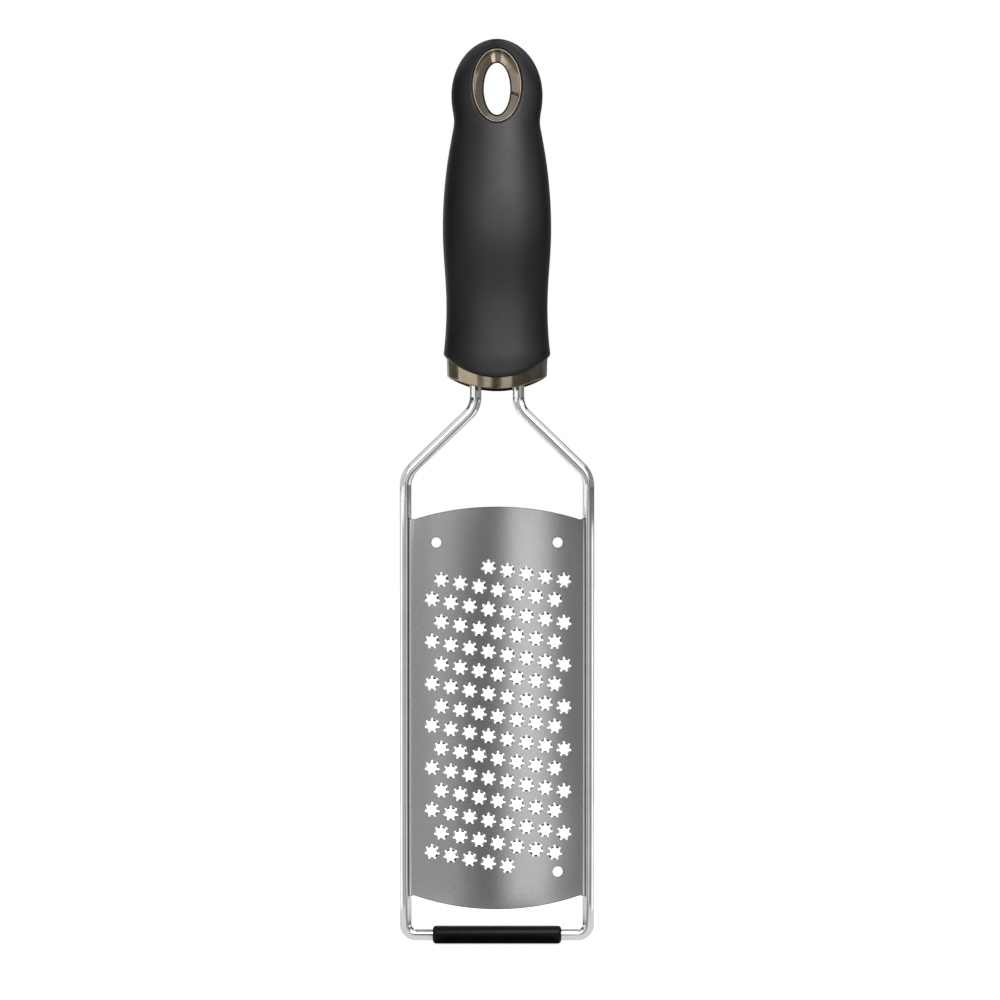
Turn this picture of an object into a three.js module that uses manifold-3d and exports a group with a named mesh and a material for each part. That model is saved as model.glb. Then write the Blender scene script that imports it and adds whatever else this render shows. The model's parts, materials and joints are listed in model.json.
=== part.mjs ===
// Parmesan grater: a crowned, perforated blade welded between the rods of a bent wire frame.
// The frame's two tangs are held in a soft-grip handle with a hang ring and an end collar.
// Lengths are millimetres. +Z runs up the handle, +X is to the right, and the teeth face -Y.
// The origin is the middle of the hang hole, and the wire frame lies in the plane y = 0.
import * as THREE from "three";
import { mergeVertices } from "three/addons/utils/BufferGeometryUtils.js";
import Module from "manifold-3d";

const wasm = await Module();
wasm.setup();

// Fits
const fitGap = 0.3; // between pieces that seat in each other
const weldGap = 0.3; // between the blade's lip and the rod that it is welded to
const cutOvershoot = 1; // how far a cutting solid runs past what it cuts
const samePoint = 1e-4; // points closer than this are one
const filletShare = 0.9; // the largest share of a wall that a rounded edge takes

// Hang ring: half sizes of the oval throat, and the funnel that opens from it
const throatHalfWidth = 4.62;
const throatHalfHeight = 9.07;
const funnelSpread = 3.78; // from the throat to the rim, all round
const rimFlat = 0.7;
const rimProud = 0.25; // above the grip's surface
const rimDrop = 0.3; // of the rim's outer edge, below its crest

// Handle: half widths (x) and half depths (y) at stations down it, each a span below the last
const headRim = 4.85; // of grip above the hang ring
const headDrop = 2.5; // the head's widest section, below the hang hole
const headHalfWidth = 16;
const headHalfDepth = 9.6;
const headFlatness = 3; // exponent of the dome seen from the side: 2 is round, more is flatter
const neckSpan = 8.6;
const neckHalfWidth = 15.15;
const neckHalfDepth = 9.9;
const bellySpan = 37.9;
const bellyHalfWidth = 19;
const bellyHalfDepth = 14.5;
const waistSpan = 29;
const waistHalfWidth = 17.8;
const waistHalfDepth = 12.9;
const flareSpan = 15.2;
const flareHalfWidth = 18.6;
const flareHalfDepth = 13.6;
const gripEdgeRise = 8.3; // of the curved lower edge, from its middle to its sides
const gripWall = 2.4;
const sectionFullness = 2.3; // exponent of the oval section: 2 is an ellipse

// End collar
const collarHeight = 4.2; // at the middle, below the grip
const collarEdgeRise = 4.7; // of the curved lower edge, from its middle to its sides
const collarInset = 0.8; // from the grip's flared surface
const collarFloor = 1.6;

// Wire frame: centre-line spacings, and lengths down from the collar
const wireDiameter = 4.1;
const tangDepth = 62; // inside the handle, above the collar's lowest point
const tangHalfSpacing = 7.5;
const tangStraight = 2.07; // below the collar, to the start of the bend
const shoulderDrop = 23.7; // between the corners of the two bends
const shoulderBendRadius = 8.8;
const rodHalfSpacing = 32;
const cornerBendRadius = 3.7;

// Foot sleeve
const footWall = 0.8;
const footEndGap = 5.8; // of bare crossbar between the sleeve and the bend
const footEdgeRadius = 0.7;

// Blade sheet
const bladeDrop = 7.27; // end of the shoulder's bend to the top of the blade
const bladeLength = 140.1;
const footClearance = 9.7; // bottom of the blade to the crossbar's centre line
const sheetThickness = 0.4;
const crownRadius = 150;
const endArcRise = 4.46; // of the curved ends, from their sides to their middle
const lipLength = 1.31;
const lipBendRadius = 1;
const lipAngle = THREE.MathUtils.degToRad(45);
const earHeight = 0.5; // of the lip's corner past the end of the face

// Star-hole field: insets from the edges of the blade's face, measured on the flat sheet
const fieldTopInset = 20.4;
const fieldBottomInset = 14.5;
const fieldSideInset = 5.08;
const columnPitch = 3.29;
const rowPitch = 7.34;
const rowSlope = Math.tan(THREE.MathUtils.degToRad(10));
const starArms = 7;
const armReach = 2.55;
const armWidth = 0.77;
const toothTipRadius = 1.66;
const toothHeight = 1.15;

// Round holes in the blade, with insets as for the star holes
const roundHoleDiameter = 3.6;
const roundHoleTopInset = 12.5;
const roundHoleBottomInset = 12.9;
const roundHoleSideInset = 7.88;
const roundHoleMargin = 0.6; // of plain sheet kept round the hole

// Facet counts
const gripFacets = { sides: 28, domeRows: 5, spanRows: [2, 4, 4, 3] };
const coreFacets = { sides: 20, domeRows: 4, spanRows: [1, 3, 2, 1] };
const ringSides = 32;
const edgeArcSides = 32;
const wireSides = 12;
const boreSides = 16;
const footSides = 16;
const footEdgeSteps = 2;
const bendSteps = 6;
const roundHoleSides = 16;

// Places and sizes that follow from the ones above
const rimHalfWidth = throatHalfWidth + funnelSpread;
const rimHalfHeight = throatHalfHeight + funnelSpread;
const gripTopZ = rimHalfHeight + headRim;
const headZ = -headDrop;
const neckZ = headZ - neckSpan;
const bellyZ = neckZ - bellySpan;
const waistZ = bellyZ - waistSpan;
const flareZ = waistZ - flareSpan;
const gripEndZ = flareZ - gripEdgeRise;
const gripEdgeRadius = arcRadius(flareHalfWidth, gripEdgeRise);
const collarEndZ = gripEndZ - collarHeight;
const collarEdgeRadius = arcRadius(flareHalfWidth - collarInset, collarEdgeRise);
const collarFloorZ = collarEndZ + collarFloor;
const collarFloorRadius = collarEdgeRadius - collarFloor;
const wireRadius = wireDiameter / 2;
const boreRadius = wireRadius + fitGap;
const shoulderTurn = Math.atan2(rodHalfSpacing - tangHalfSpacing, shoulderDrop);
const shoulderBendReach = shoulderBendRadius * Math.tan(shoulderTurn / 2);
const tangTopZ = collarEndZ + tangDepth;
const tangCornerZ = collarEndZ - tangStraight - shoulderBendReach;
const shoulderCornerZ = tangCornerZ - shoulderDrop;
const bladeTopZ = shoulderCornerZ - shoulderBendReach - bladeDrop;
const bladeEndZ = bladeTopZ - bladeLength;
const crossbarZ = bladeEndZ - footClearance;

// The radius of an arc from its half width and its rise.
function arcRadius(halfWidth, rise) {
  return (halfWidth ** 2 + rise ** 2) / (2 * rise);
}

// How far a circular arc has risen at a given distance from its lowest point.
function arcRise(radius, across) {
  return radius - Math.sqrt(radius ** 2 - across ** 2);
}

// A closed geometry as a solid that can be joined and cut.
function solid(geometry) {
  const bare = geometry.clone();
  bare.deleteAttribute("normal");
  bare.deleteAttribute("uv");
  const merged = mergeVertices(bare, samePoint);
  return new wasm.Manifold(
    new wasm.Mesh({
      numProp: 3,
      vertProperties: new Float32Array(merged.attributes.position.array),
      triVerts: new Uint32Array(merged.index.array),
    }),
  );
}

// A geometry from a flat list of coordinates and a list of triangle corners.
function indexedGeometry(coordinates, corners) {
  const geometry = new THREE.BufferGeometry();
  geometry.setAttribute("position", new THREE.Float32BufferAttribute(coordinates, 3));
  geometry.setIndex(corners);
  geometry.computeVertexNormals();
  return geometry;
}

// The geometry of a cut or joined solid.
function solidGeometry(body) {
  const mesh = body.getMesh();
  return indexedGeometry(Array.from(mesh.vertProperties), Array.from(mesh.triVerts));
}

// Joins loops of equal length into a skin: each loop is a list of Vector3.
// With poles given, a fan runs to one at each end; otherwise the last loop joins the first.
function skin(loops, poles) {
  const sides = loops[0].length;
  const coordinates = loops.flatMap((loop) => loop.flatMap((point) => point.toArray()));
  const corners = [];
  const joins = poles ? loops.length - 1 : loops.length;
  for (let row = 0; row < joins; row++) {
    const here = row * sides;
    const next = ((row + 1) % loops.length) * sides;
    for (let side = 0; side < sides; side++) {
      const beside = (side + 1) % sides;
      corners.push(here + side, next + side, next + beside);
      corners.push(here + side, next + beside, here + beside);
    }
  }
  if (poles) {
    const last = (loops.length - 1) * sides;
    const firstPole = loops.length * sides;
    coordinates.push(...poles.flatMap((pole) => pole.toArray()));
    for (let side = 0; side < sides; side++) {
      const beside = (side + 1) % sides;
      corners.push(firstPole, side, beside);
      corners.push(firstPole + 1, last + beside, last + side);
    }
  }
  return indexedGeometry(coordinates, corners);
}

// Handle surface

const easeIn = (t) => t ** 2;
const easeOut = (t) => 1 - (1 - t) ** 2;
const easeBoth = (t) => (1 - Math.cos(Math.PI * t)) / 2;

// Stations down the handle, each with the easing that leads to it from the one above.
const stations = [
  { z: headZ, width: headHalfWidth, depth: headHalfDepth },
  { z: neckZ, width: neckHalfWidth, depth: neckHalfDepth, ease: easeIn },
  { z: bellyZ, width: bellyHalfWidth, depth: bellyHalfDepth, ease: easeOut },
  { z: waistZ, width: waistHalfWidth, depth: waistHalfDepth, ease: easeBoth },
  { z: flareZ, width: flareHalfWidth, depth: flareHalfDepth, ease: easeIn },
];

// Half width and half depth of the handle at a height, inset all round by a wall.
function handleSection(z, inset) {
  if (z > headZ) {
    const rise = Math.min((z - headZ) / (gripTopZ - inset - headZ), 1);
    return {
      width: (headHalfWidth - inset) * Math.sqrt(1 - rise ** 2),
      depth: (headHalfDepth - inset) * (1 - rise ** headFlatness) ** (1 / headFlatness),
    };
  }
  const below = stations.findIndex((station) => station.z <= z);
  const to = below < 0 ? stations.at(-1) : stations[below];
  const from = below > 0 ? stations[below - 1] : to;
  const share = to === from ? 1 : to.ease((z - from.z) / (to.z - from.z));
  return {
    width: THREE.MathUtils.lerp(from.width, to.width, share) - inset,
    depth: THREE.MathUtils.lerp(from.depth, to.depth, share) - inset,
  };
}

// Half depth of the grip at a point of its front view.
function gripDepthAt(x, z) {
  const { width, depth } = handleSection(z, 0);
  const across = Math.min(Math.abs(x) / width, 1);
  return depth * (1 - across ** sectionFullness) ** (1 / sectionFullness);
}

// One oval section of the handle as a loop of points.
function handleLoop(z, inset, sides) {
  const { width, depth } = handleSection(z, inset);
  const power = 2 / sectionFullness;
  return Array.from({ length: sides }, (_, side) => {
    const angle = (2 * Math.PI * side) / sides;
    const x = Math.sign(Math.cos(angle)) * Math.abs(Math.cos(angle)) ** power;
    const y = Math.sign(Math.sin(angle)) * Math.abs(Math.sin(angle)) ** power;
    return new THREE.Vector3(width * x, depth * y, z);
  });
}

// The handle's form inset by a wall, from the top of its head down to a height.
// The dome's rows are even in angle, and start half a row below the crest.
function handleForm(inset, bottomZ, { sides, domeRows, spanRows }) {
  const crestZ = gripTopZ - inset;
  const heights = [];
  for (let row = 0.5; row < domeRows; row++) {
    const angle = (Math.PI / 2) * (1 - row / (domeRows + 0.5));
    heights.push(THREE.MathUtils.lerp(headZ, crestZ, Math.sin(angle)));
  }
  heights.push(headZ);
  spanRows.forEach((rows, span) => {
    const from = stations[span].z;
    const to = stations[span + 1].z;
    for (let row = 1; row <= rows; row++) {
      heights.push(THREE.MathUtils.lerp(from, to, row / rows));
    }
  });
  heights.push(bottomZ);
  const loops = heights.map((z) => handleLoop(z, inset, sides));
  const poles = [crestZ, bottomZ].map((z) => new THREE.Vector3(0, 0, z));
  return solid(skin(loops, poles));
}

// Everything below an arc that hangs across the handle, as a cutting solid.
function belowArc(lowestZ, radius) {
  const reach = radius + cutOvershoot;
  const centreZ = lowestZ + radius;
  const outline = new THREE.Shape();
  outline.moveTo(-reach, centreZ);
  outline.lineTo(-radius, centreZ);
  outline.absarc(0, centreZ, radius, Math.PI, 2 * Math.PI, false);
  outline.lineTo(reach, centreZ);
  outline.lineTo(reach, lowestZ - reach);
  outline.lineTo(-reach, lowestZ - reach);
  return solid(extrudeAcross(outline, bellyHalfDepth + cutOvershoot, edgeArcSides));
}

// An outline drawn in x and z, extruded to both sides of the plane y = 0.
// Each round stretch of it gets the given number of sides.
function extrudeAcross(outline, halfDepth, sides) {
  const geometry = new THREE.ExtrudeGeometry(outline, {
    depth: 2 * halfDepth,
    bevelEnabled: false,
    curveSegments: sides / 2,
  });
  return geometry.translate(0, 0, -halfDepth).rotateX(Math.PI / 2);
}

// An oval hole through the handle from front to back.
function ovalCut(halfWidth, halfHeight) {
  const outline = new THREE.Shape();
  outline.absellipse(0, 0, halfWidth, halfHeight, 0, 2 * Math.PI, false, 0);
  return solid(extrudeAcross(outline, bellyHalfDepth + cutOvershoot, ringSides));
}

// A round hole along Z for a tang.
function tangBore(x, bottomZ, topZ) {
  const bore = new THREE.CylinderGeometry(boreRadius, boreRadius, topZ - bottomZ, boreSides);
  bore.rotateX(Math.PI / 2).translate(x, 0, (topZ + bottomZ) / 2);
  return solid(bore);
}

function cutTangBores(body, bottomZ) {
  const topZ = tangTopZ + fitGap;
  return body
    .subtract(tangBore(-tangHalfSpacing, bottomZ, topZ))
    .subtract(tangBore(tangHalfSpacing, bottomZ, topZ));
}

const ringSeat = ovalCut(rimHalfWidth + fitGap, rimHalfHeight + fitGap);

function softGrip() {
  const hollow = handleForm(gripWall, gripEndZ - 2 * cutOvershoot, coreFacets);
  const shell = handleForm(0, gripEndZ - cutOvershoot, gripFacets)
    .subtract(belowArc(gripEndZ, gripEdgeRadius))
    .subtract(hollow)
    .subtract(ringSeat);
  return solidGeometry(shell);
}

function handleCore() {
  const bar = handleForm(gripWall + fitGap, collarEndZ - cutOvershoot, coreFacets)
    .subtract(belowArc(collarFloorZ + fitGap, collarFloorRadius - fitGap))
    .subtract(ringSeat);
  return solidGeometry(cutTangBores(bar, collarEndZ - cutOvershoot));
}

function endCollar() {
  const socket = handleForm(gripWall, collarEndZ - cutOvershoot, coreFacets).subtract(
    belowArc(collarFloorZ, collarFloorRadius),
  );
  const cap = handleForm(collarInset, collarEndZ - cutOvershoot, gripFacets)
    .intersect(belowArc(gripEndZ - fitGap, gripEdgeRadius))
    .subtract(belowArc(collarEndZ, collarEdgeRadius))
    .subtract(socket);
  return solidGeometry(cutTangBores(cap, collarEndZ - cutOvershoot));
}

// One half of the hang ring: side is -1 at the front and 1 at the back.
function hangRing(side) {
  const oval = (halfWidth, halfHeight, depthAt) =>
    Array.from({ length: ringSides }, (_, step) => {
      const angle = (-side * 2 * Math.PI * step) / ringSides;
      const x = halfWidth * Math.cos(angle);
      const z = halfHeight * Math.sin(angle);
      return new THREE.Vector3(x, side * depthAt(x, z), z);
    });
  const middle = () => fitGap / 2;
  const crest = (x, z) => gripDepthAt(x, z) + rimProud;
  const edge = (x, z) => crest(x, z) - rimDrop;
  const loops = [
    oval(throatHalfWidth, throatHalfHeight, middle),
    oval(rimHalfWidth - rimFlat, rimHalfHeight - rimFlat, crest),
    oval(rimHalfWidth, rimHalfHeight, edge),
    oval(rimHalfWidth, rimHalfHeight, middle),
  ];
  return skin(loops);
}

// Wire frame

// The centre line of a bent wire: straight runs between points, rounded at each inner point.
class BentWire extends THREE.Curve {
  constructor(points, radii) {
    super();
    this.stops = [{ point: points[0], along: direction(points[0], points[1]) }];
    for (let i = 1; i < points.length - 1; i++) {
      this.addBend(points[i - 1], points[i], points[i + 1], radii[i - 1]);
    }
    this.stops.push({ point: points.at(-1), along: direction(points.at(-2), points.at(-1)) });
  }

  addBend(before, corner, after, radius) {
    const into = direction(before, corner);
    const out = direction(corner, after);
    const turn = into.angleTo(out);
    const axis = into.clone().cross(out).normalize();
    const start = corner.clone().addScaledVector(into, -radius * Math.tan(turn / 2));
    const centre = start.clone().addScaledVector(axis.clone().cross(into), radius);
    for (let step = 0; step <= bendSteps; step++) {
      const angle = (turn * step) / bendSteps;
      const point = start.clone().sub(centre).applyAxisAngle(axis, angle).add(centre);
      this.stops.push({ point, along: into.clone().applyAxisAngle(axis, angle) });
    }
  }

  stopAt(u) {
    return this.stops[Math.round(u * (this.stops.length - 1))];
  }

  getPointAt(u, target = new THREE.Vector3()) {
    return target.copy(this.stopAt(u).point);
  }

  getTangentAt(u, target = new THREE.Vector3()) {
    return target.copy(this.stopAt(u).along);
  }
}

function direction(from, to) {
  return to.clone().sub(from).normalize();
}

function wireFrame() {
  const half = [
    new THREE.Vector3(tangHalfSpacing, 0, tangTopZ),
    new THREE.Vector3(tangHalfSpacing, 0, tangCornerZ),
    new THREE.Vector3(rodHalfSpacing, 0, shoulderCornerZ),
    new THREE.Vector3(rodHalfSpacing, 0, crossbarZ),
  ];
  const mirrored = half.map((point) => new THREE.Vector3(-point.x, 0, point.z)).reverse();
  const halfRadii = [shoulderBendRadius, shoulderBendRadius, cornerBendRadius];
  const path = new BentWire([...half, ...mirrored], [...halfRadii, ...halfRadii.toReversed()]);
  const section = new THREE.Shape();
  section.absarc(0, 0, wireRadius, 0, 2 * Math.PI, false);
  return new THREE.ExtrudeGeometry(section, {
    steps: path.stops.length - 1,
    curveSegments: wireSides / 2,
    extrudePath: path,
  });
}

function footSleeve() {
  const outer = boreRadius + footWall;
  const half = rodHalfSpacing - cornerBendRadius - footEndGap;
  const edge = Math.min(footEdgeRadius, filletShare * footWall);
  const profile = new THREE.Path();
  profile.moveTo(boreRadius, -half);
  profile.lineTo(outer - edge, -half);
  profile.absarc(outer - edge, edge - half, edge, -Math.PI / 2, 0, false);
  profile.lineTo(outer, half - edge);
  profile.absarc(outer - edge, half - edge, edge, 0, Math.PI / 2, false);
  profile.lineTo(boreRadius, half);
  profile.closePath();
  return new THREE.LatheGeometry(profile.getPoints(footEdgeSteps), footSides);
}

// Blade: a flat sheet is cut, its teeth are raised, and it is then formed to its crown and lips

// From the lip's edge, which points at the rod's centre line, back to the crown's middle
const lipEdgeX = rodHalfSpacing - (wireRadius + weldGap) * Math.cos(lipAngle);
const lipEdgeY = -(wireRadius + weldGap) * Math.sin(lipAngle);
const bendEndX = lipEdgeX - lipLength * Math.cos(lipAngle);
const bendEndY = lipEdgeY - lipLength * Math.sin(lipAngle);
const bendCentreX = bendEndX - lipBendRadius * Math.sin(lipAngle);
const crownTurn = Math.asin(bendCentreX / (crownRadius - lipBendRadius));
const bendStartY = bendEndY - lipBendRadius * (Math.cos(crownTurn) - Math.cos(lipAngle));
const apexY = bendStartY - crownRadius * (1 - Math.cos(crownTurn));

// The same stretches along the flat sheet, from its middle to one edge
const crownLength = crownRadius * crownTurn;
const bendLength = lipBendRadius * (lipAngle - crownTurn);
const sheetHalfWidth = crownLength + bendLength + lipLength;
const endArcRadius = arcRadius(crownLength, endArcRise);

// A point of the flat sheet after forming: u is across it, v along it and lift is towards the front.
function formed(u, v, lift) {
  const across = Math.abs(u);
  const pastCrown = Math.max(across - crownLength, 0);
  const alongLip = Math.max(pastCrown - bendLength, 0);
  const turn = pastCrown > 0 ? crownTurn + (pastCrown - alongLip) / lipBendRadius : across / crownRadius;
  let x = crownRadius * Math.sin(turn);
  let y = apexY + crownRadius * (1 - Math.cos(turn));
  if (pastCrown > 0) {
    x = bendCentreX + lipBendRadius * Math.sin(turn) + alongLip * Math.cos(turn);
    y = bendStartY + lipBendRadius * (Math.cos(crownTurn) - Math.cos(turn)) + alongLip * Math.sin(turn);
  }
  return [Math.sign(u) * (x + lift * Math.sin(turn)), y - lift * Math.cos(turn), v];
}

// Distance between two flat points, and twice the area of a triangle: positive if anticlockwise.
function apart(p, q) {
  return Math.hypot(p[0] - q[0], p[1] - q[1]);
}

function area(p, q, r) {
  return (q[0] - p[0]) * (r[1] - p[1]) - (r[0] - p[0]) * (q[1] - p[1]);
}

// The sheet as one triangulated surface, thickened into a closed body.
class Sheet {
  constructor() {
    this.points = [];
    this.found = new Map();
    this.triangles = [];
  }

  // The index of a point of the flat sheet; a tooth's tip has lift, and is sharp.
  point(u, v, lift = 0) {
    const key = [u, v].map((value) => Math.round(value / samePoint)).join(" ");
    if (!this.found.has(key)) {
      this.found.set(key, this.points.length);
      this.points.push({ u, v, lift });
    }
    return this.found.get(key);
  }

  triangle(a, b, c) {
    const [p, q, r] = [a, b, c].map((index) => [this.points[index].u, this.points[index].v]);
    this.triangles.push(area(p, q, r) > 0 ? [a, b, c] : [a, c, b]);
  }

  // Fills an outline of [u, v] points.
  fill(outline) {
    const indices = outline.map((corner) => this.point(...corner));
    const corners = outline.map(([u, v]) => new THREE.Vector2(u, v));
    for (const [a, b, c] of THREE.ShapeUtils.triangulateShape(corners, [])) {
      this.triangle(indices[a], indices[b], indices[c]);
    }
  }

  // Fills the band between an outline and a convex hole in it, by the shorter diagonal at each step.
  // Both loops run anticlockwise, and the band starts at their closest corners.
  fillRound(outline, hole) {
    const at = (loop, i) => loop[(i + loop.length) % loop.length];
    const closest = (loop, other) => {
      const gaps = loop.map((corner) => Math.min(...other.map((far) => apart(corner, far))));
      return gaps.indexOf(Math.min(...gaps));
    };
    const innerStart = closest(hole, outline);
    const outerStart = closest(outline, [hole[innerStart]]);
    let out = 0;
    let into = 0;
    while (out < outline.length || into < hole.length) {
      const here = at(outline, outerStart + out);
      const onward = at(outline, outerStart + out + 1);
      const [before, facing, after] = [-1, 0, 1].map((i) => at(hole, innerStart + into + i));
      // A step can't turn its triangle over, and its diagonal can't run through the hole.
      const seesHole = area(before, facing, onward) < 0 || area(facing, after, onward) < 0;
      const canStepOut = out < outline.length && seesHole && area(here, onward, facing) > 0;
      const canStepIn = into < hole.length && area(here, after, facing) > 0;
      const outIsShorter = apart(onward, facing) < apart(after, here);
      const stepOut = canStepOut && (outIsShorter || !canStepIn);
      const next = stepOut ? onward : after;
      this.triangle(this.point(...here), this.point(...next), this.point(...facing));
      out += stepOut ? 1 : 0;
      into += stepOut ? 0 : 1;
    }
  }

  // Front and back skins, with a wall along every edge that only one triangle has.
  geometry() {
    const coordinates = [];
    const fronts = [];
    const backs = [];
    const place = (point, offset) => {
      coordinates.push(...formed(point.u, point.v, point.lift + offset));
      return coordinates.length / 3 - 1;
    };
    for (const point of this.points) {
      const sharp = point.lift > 0;
      fronts.push(place(point, sharp ? 0 : sheetThickness / 2));
      backs.push(sharp ? fronts.at(-1) : place(point, -sheetThickness / 2));
    }
    const open = new Map();
    const corners = [];
    for (const [a, b, c] of this.triangles) {
      corners.push(fronts[a], fronts[b], fronts[c], backs[a], backs[c], backs[b]);
      const edges = [
        [a, b],
        [b, c],
        [c, a],
      ];
      for (const [from, to] of edges) {
        const paired = open.delete(`${to} ${from}`);
        if (!paired) {
          open.set(`${from} ${to}`, [from, to]);
        }
      }
    }
    for (const [from, to] of open.values()) {
      if (fronts[from] !== backs[from]) {
        corners.push(fronts[to], fronts[from], backs[from]);
      }
      if (fronts[to] !== backs[to]) {
        corners.push(fronts[to], backs[from], backs[to]);
      }
    }
    return indexedGeometry(coordinates, corners);
  }
}

// Upright lines across the sheet, which all cells and panels have their corners on.
const fieldColumns = Math.floor((crownLength - fieldSideInset) / columnPitch);
const fieldLines = [];
for (let column = -fieldColumns - 1; column <= fieldColumns + 1; column++) {
  fieldLines.push(column * columnPitch);
}
const bendEnd = crownLength + bendLength;
const lipLines = [crownLength, (crownLength + bendEnd) / 2, bendEnd, sheetHalfWidth];
const lines = [...lipLines.toReversed().map((u) => -u), ...fieldLines, ...lipLines];
const bladeCentreZ = (bladeTopZ + bladeEndZ) / 2;
const fieldHalfHeight = (bladeLength - fieldTopInset - fieldBottomInset) / 2;
const fieldCentreZ = bladeTopZ - fieldTopInset - fieldHalfHeight;

// Half the sheet's length at a distance from its middle: arcs on the face, and ears on the lips.
function sheetHalfLength(u) {
  const across = Math.abs(u);
  const onFace = bladeLength / 2 - arcRise(endArcRadius, Math.min(across, crownLength));
  const onLip = Math.max(across - crownLength, 0) / (sheetHalfWidth - crownLength);
  return onFace + earHeight * onLip;
}

// The outline of a star hole at the teeth's roots: two corners at the end of each arm.
function starRoots(u, v) {
  return Array.from({ length: 2 * starArms }, (_, i) => {
    const arm = Math.PI / 2 + (2 * Math.PI * Math.floor(i / 2)) / starArms;
    const offset = ((i % 2) - 0.5) * armWidth;
    return [
      u + armReach * Math.cos(arm) - offset * Math.sin(arm),
      v + armReach * Math.sin(arm) + offset * Math.cos(arm),
    ];
  });
}

// Raises a tooth on each root between two arms of a star hole.
function raiseTeeth(sheet, u, v, roots) {
  for (let arm = 0; arm < starArms; arm++) {
    const angle = Math.PI / 2 + (2 * Math.PI * (arm + 0.5)) / starArms;
    const tip = [u + toothTipRadius * Math.cos(angle), v + toothTipRadius * Math.sin(angle)];
    const left = roots[2 * arm + 1];
    const right = roots[(2 * arm + 2) % roots.length];
    sheet.triangle(sheet.point(...left), sheet.point(...right), sheet.point(...tip, toothHeight));
  }
}

function roundHole(u, v) {
  const radius = roundHoleDiameter / 2;
  return Array.from({ length: roundHoleSides }, (_, i) => {
    const angle = (2 * Math.PI * i) / roundHoleSides;
    return [u + radius * Math.cos(angle), v + radius * Math.sin(angle)];
  });
}

// Each hole lies in a cell of the sheet, which spans lines and has ends that follow the rows' slope.
// The height of a cell's upper end (side 1) or lower end (side -1) on a line:
function cellEnd(cell, line, side) {
  return cell.v - rowSlope * (lines[line] - cell.u) + side * cell.half;
}

function cellsOverlap(a, b) {
  const line = Math.max(a.from, b.from);
  const shareLines = line < Math.min(a.to, b.to);
  const reaches = (upper, lower) => cellEnd(upper, line, -1) < cellEnd(lower, line, 1);
  return shareLines && reaches(a, b) && reaches(b, a);
}

function roundCells() {
  const offset = crownLength - roundHoleSideInset;
  const half = roundHoleDiameter / 2 + roundHoleMargin;
  const topV = bladeTopZ - roundHoleTopInset;
  const bottomV = bladeEndZ + roundHoleBottomInset;
  const places = [
    [-offset, topV],
    [offset, topV],
    [offset, bottomV],
  ];
  return places.map(([u, v]) => {
    const from = lines.findLastIndex((line) => line < u - half);
    const to = lines.findIndex((line) => line > u + half);
    return { u, v, half, from, to, hole: roundHole(u, v), teeth: false };
  });
}

// Star holes are staggered, and one is left out where a round hole needs the room.
function starCells(taken) {
  const cells = [];
  const half = rowPitch / 2;
  const rows = Math.ceil((fieldHalfHeight + rowSlope * crownLength) / rowPitch);
  for (let row = -rows; row <= rows; row++) {
    for (let column = -fieldColumns; column <= fieldColumns; column++) {
      const u = column * columnPitch;
      const fall = rowSlope * u + rowPitch * row;
      const v = fieldCentreZ - fall;
      const line = lines.indexOf(u);
      const cell = { u, v, half, from: line - 1, to: line + 1, hole: starRoots(u, v), teeth: true };
      const inTurn = (row + column) % 2 === 0;
      const inField = Math.abs(fall) <= fieldHalfHeight;
      if (inTurn && inField && !taken.some((other) => cellsOverlap(cell, other))) {
        cells.push(cell);
      }
    }
  }
  return cells;
}

// The heights on each line where a cell or the sheet itself ends.
function lineStops(cells) {
  const stops = lines.map((u) => {
    const half = sheetHalfLength(u);
    return [bladeCentreZ + half, bladeCentreZ - half];
  });
  for (const cell of cells) {
    for (let line = cell.from; line <= cell.to; line++) {
      stops[line].push(cellEnd(cell, line, 1), cellEnd(cell, line, -1));
    }
  }
  return stops;
}

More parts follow.
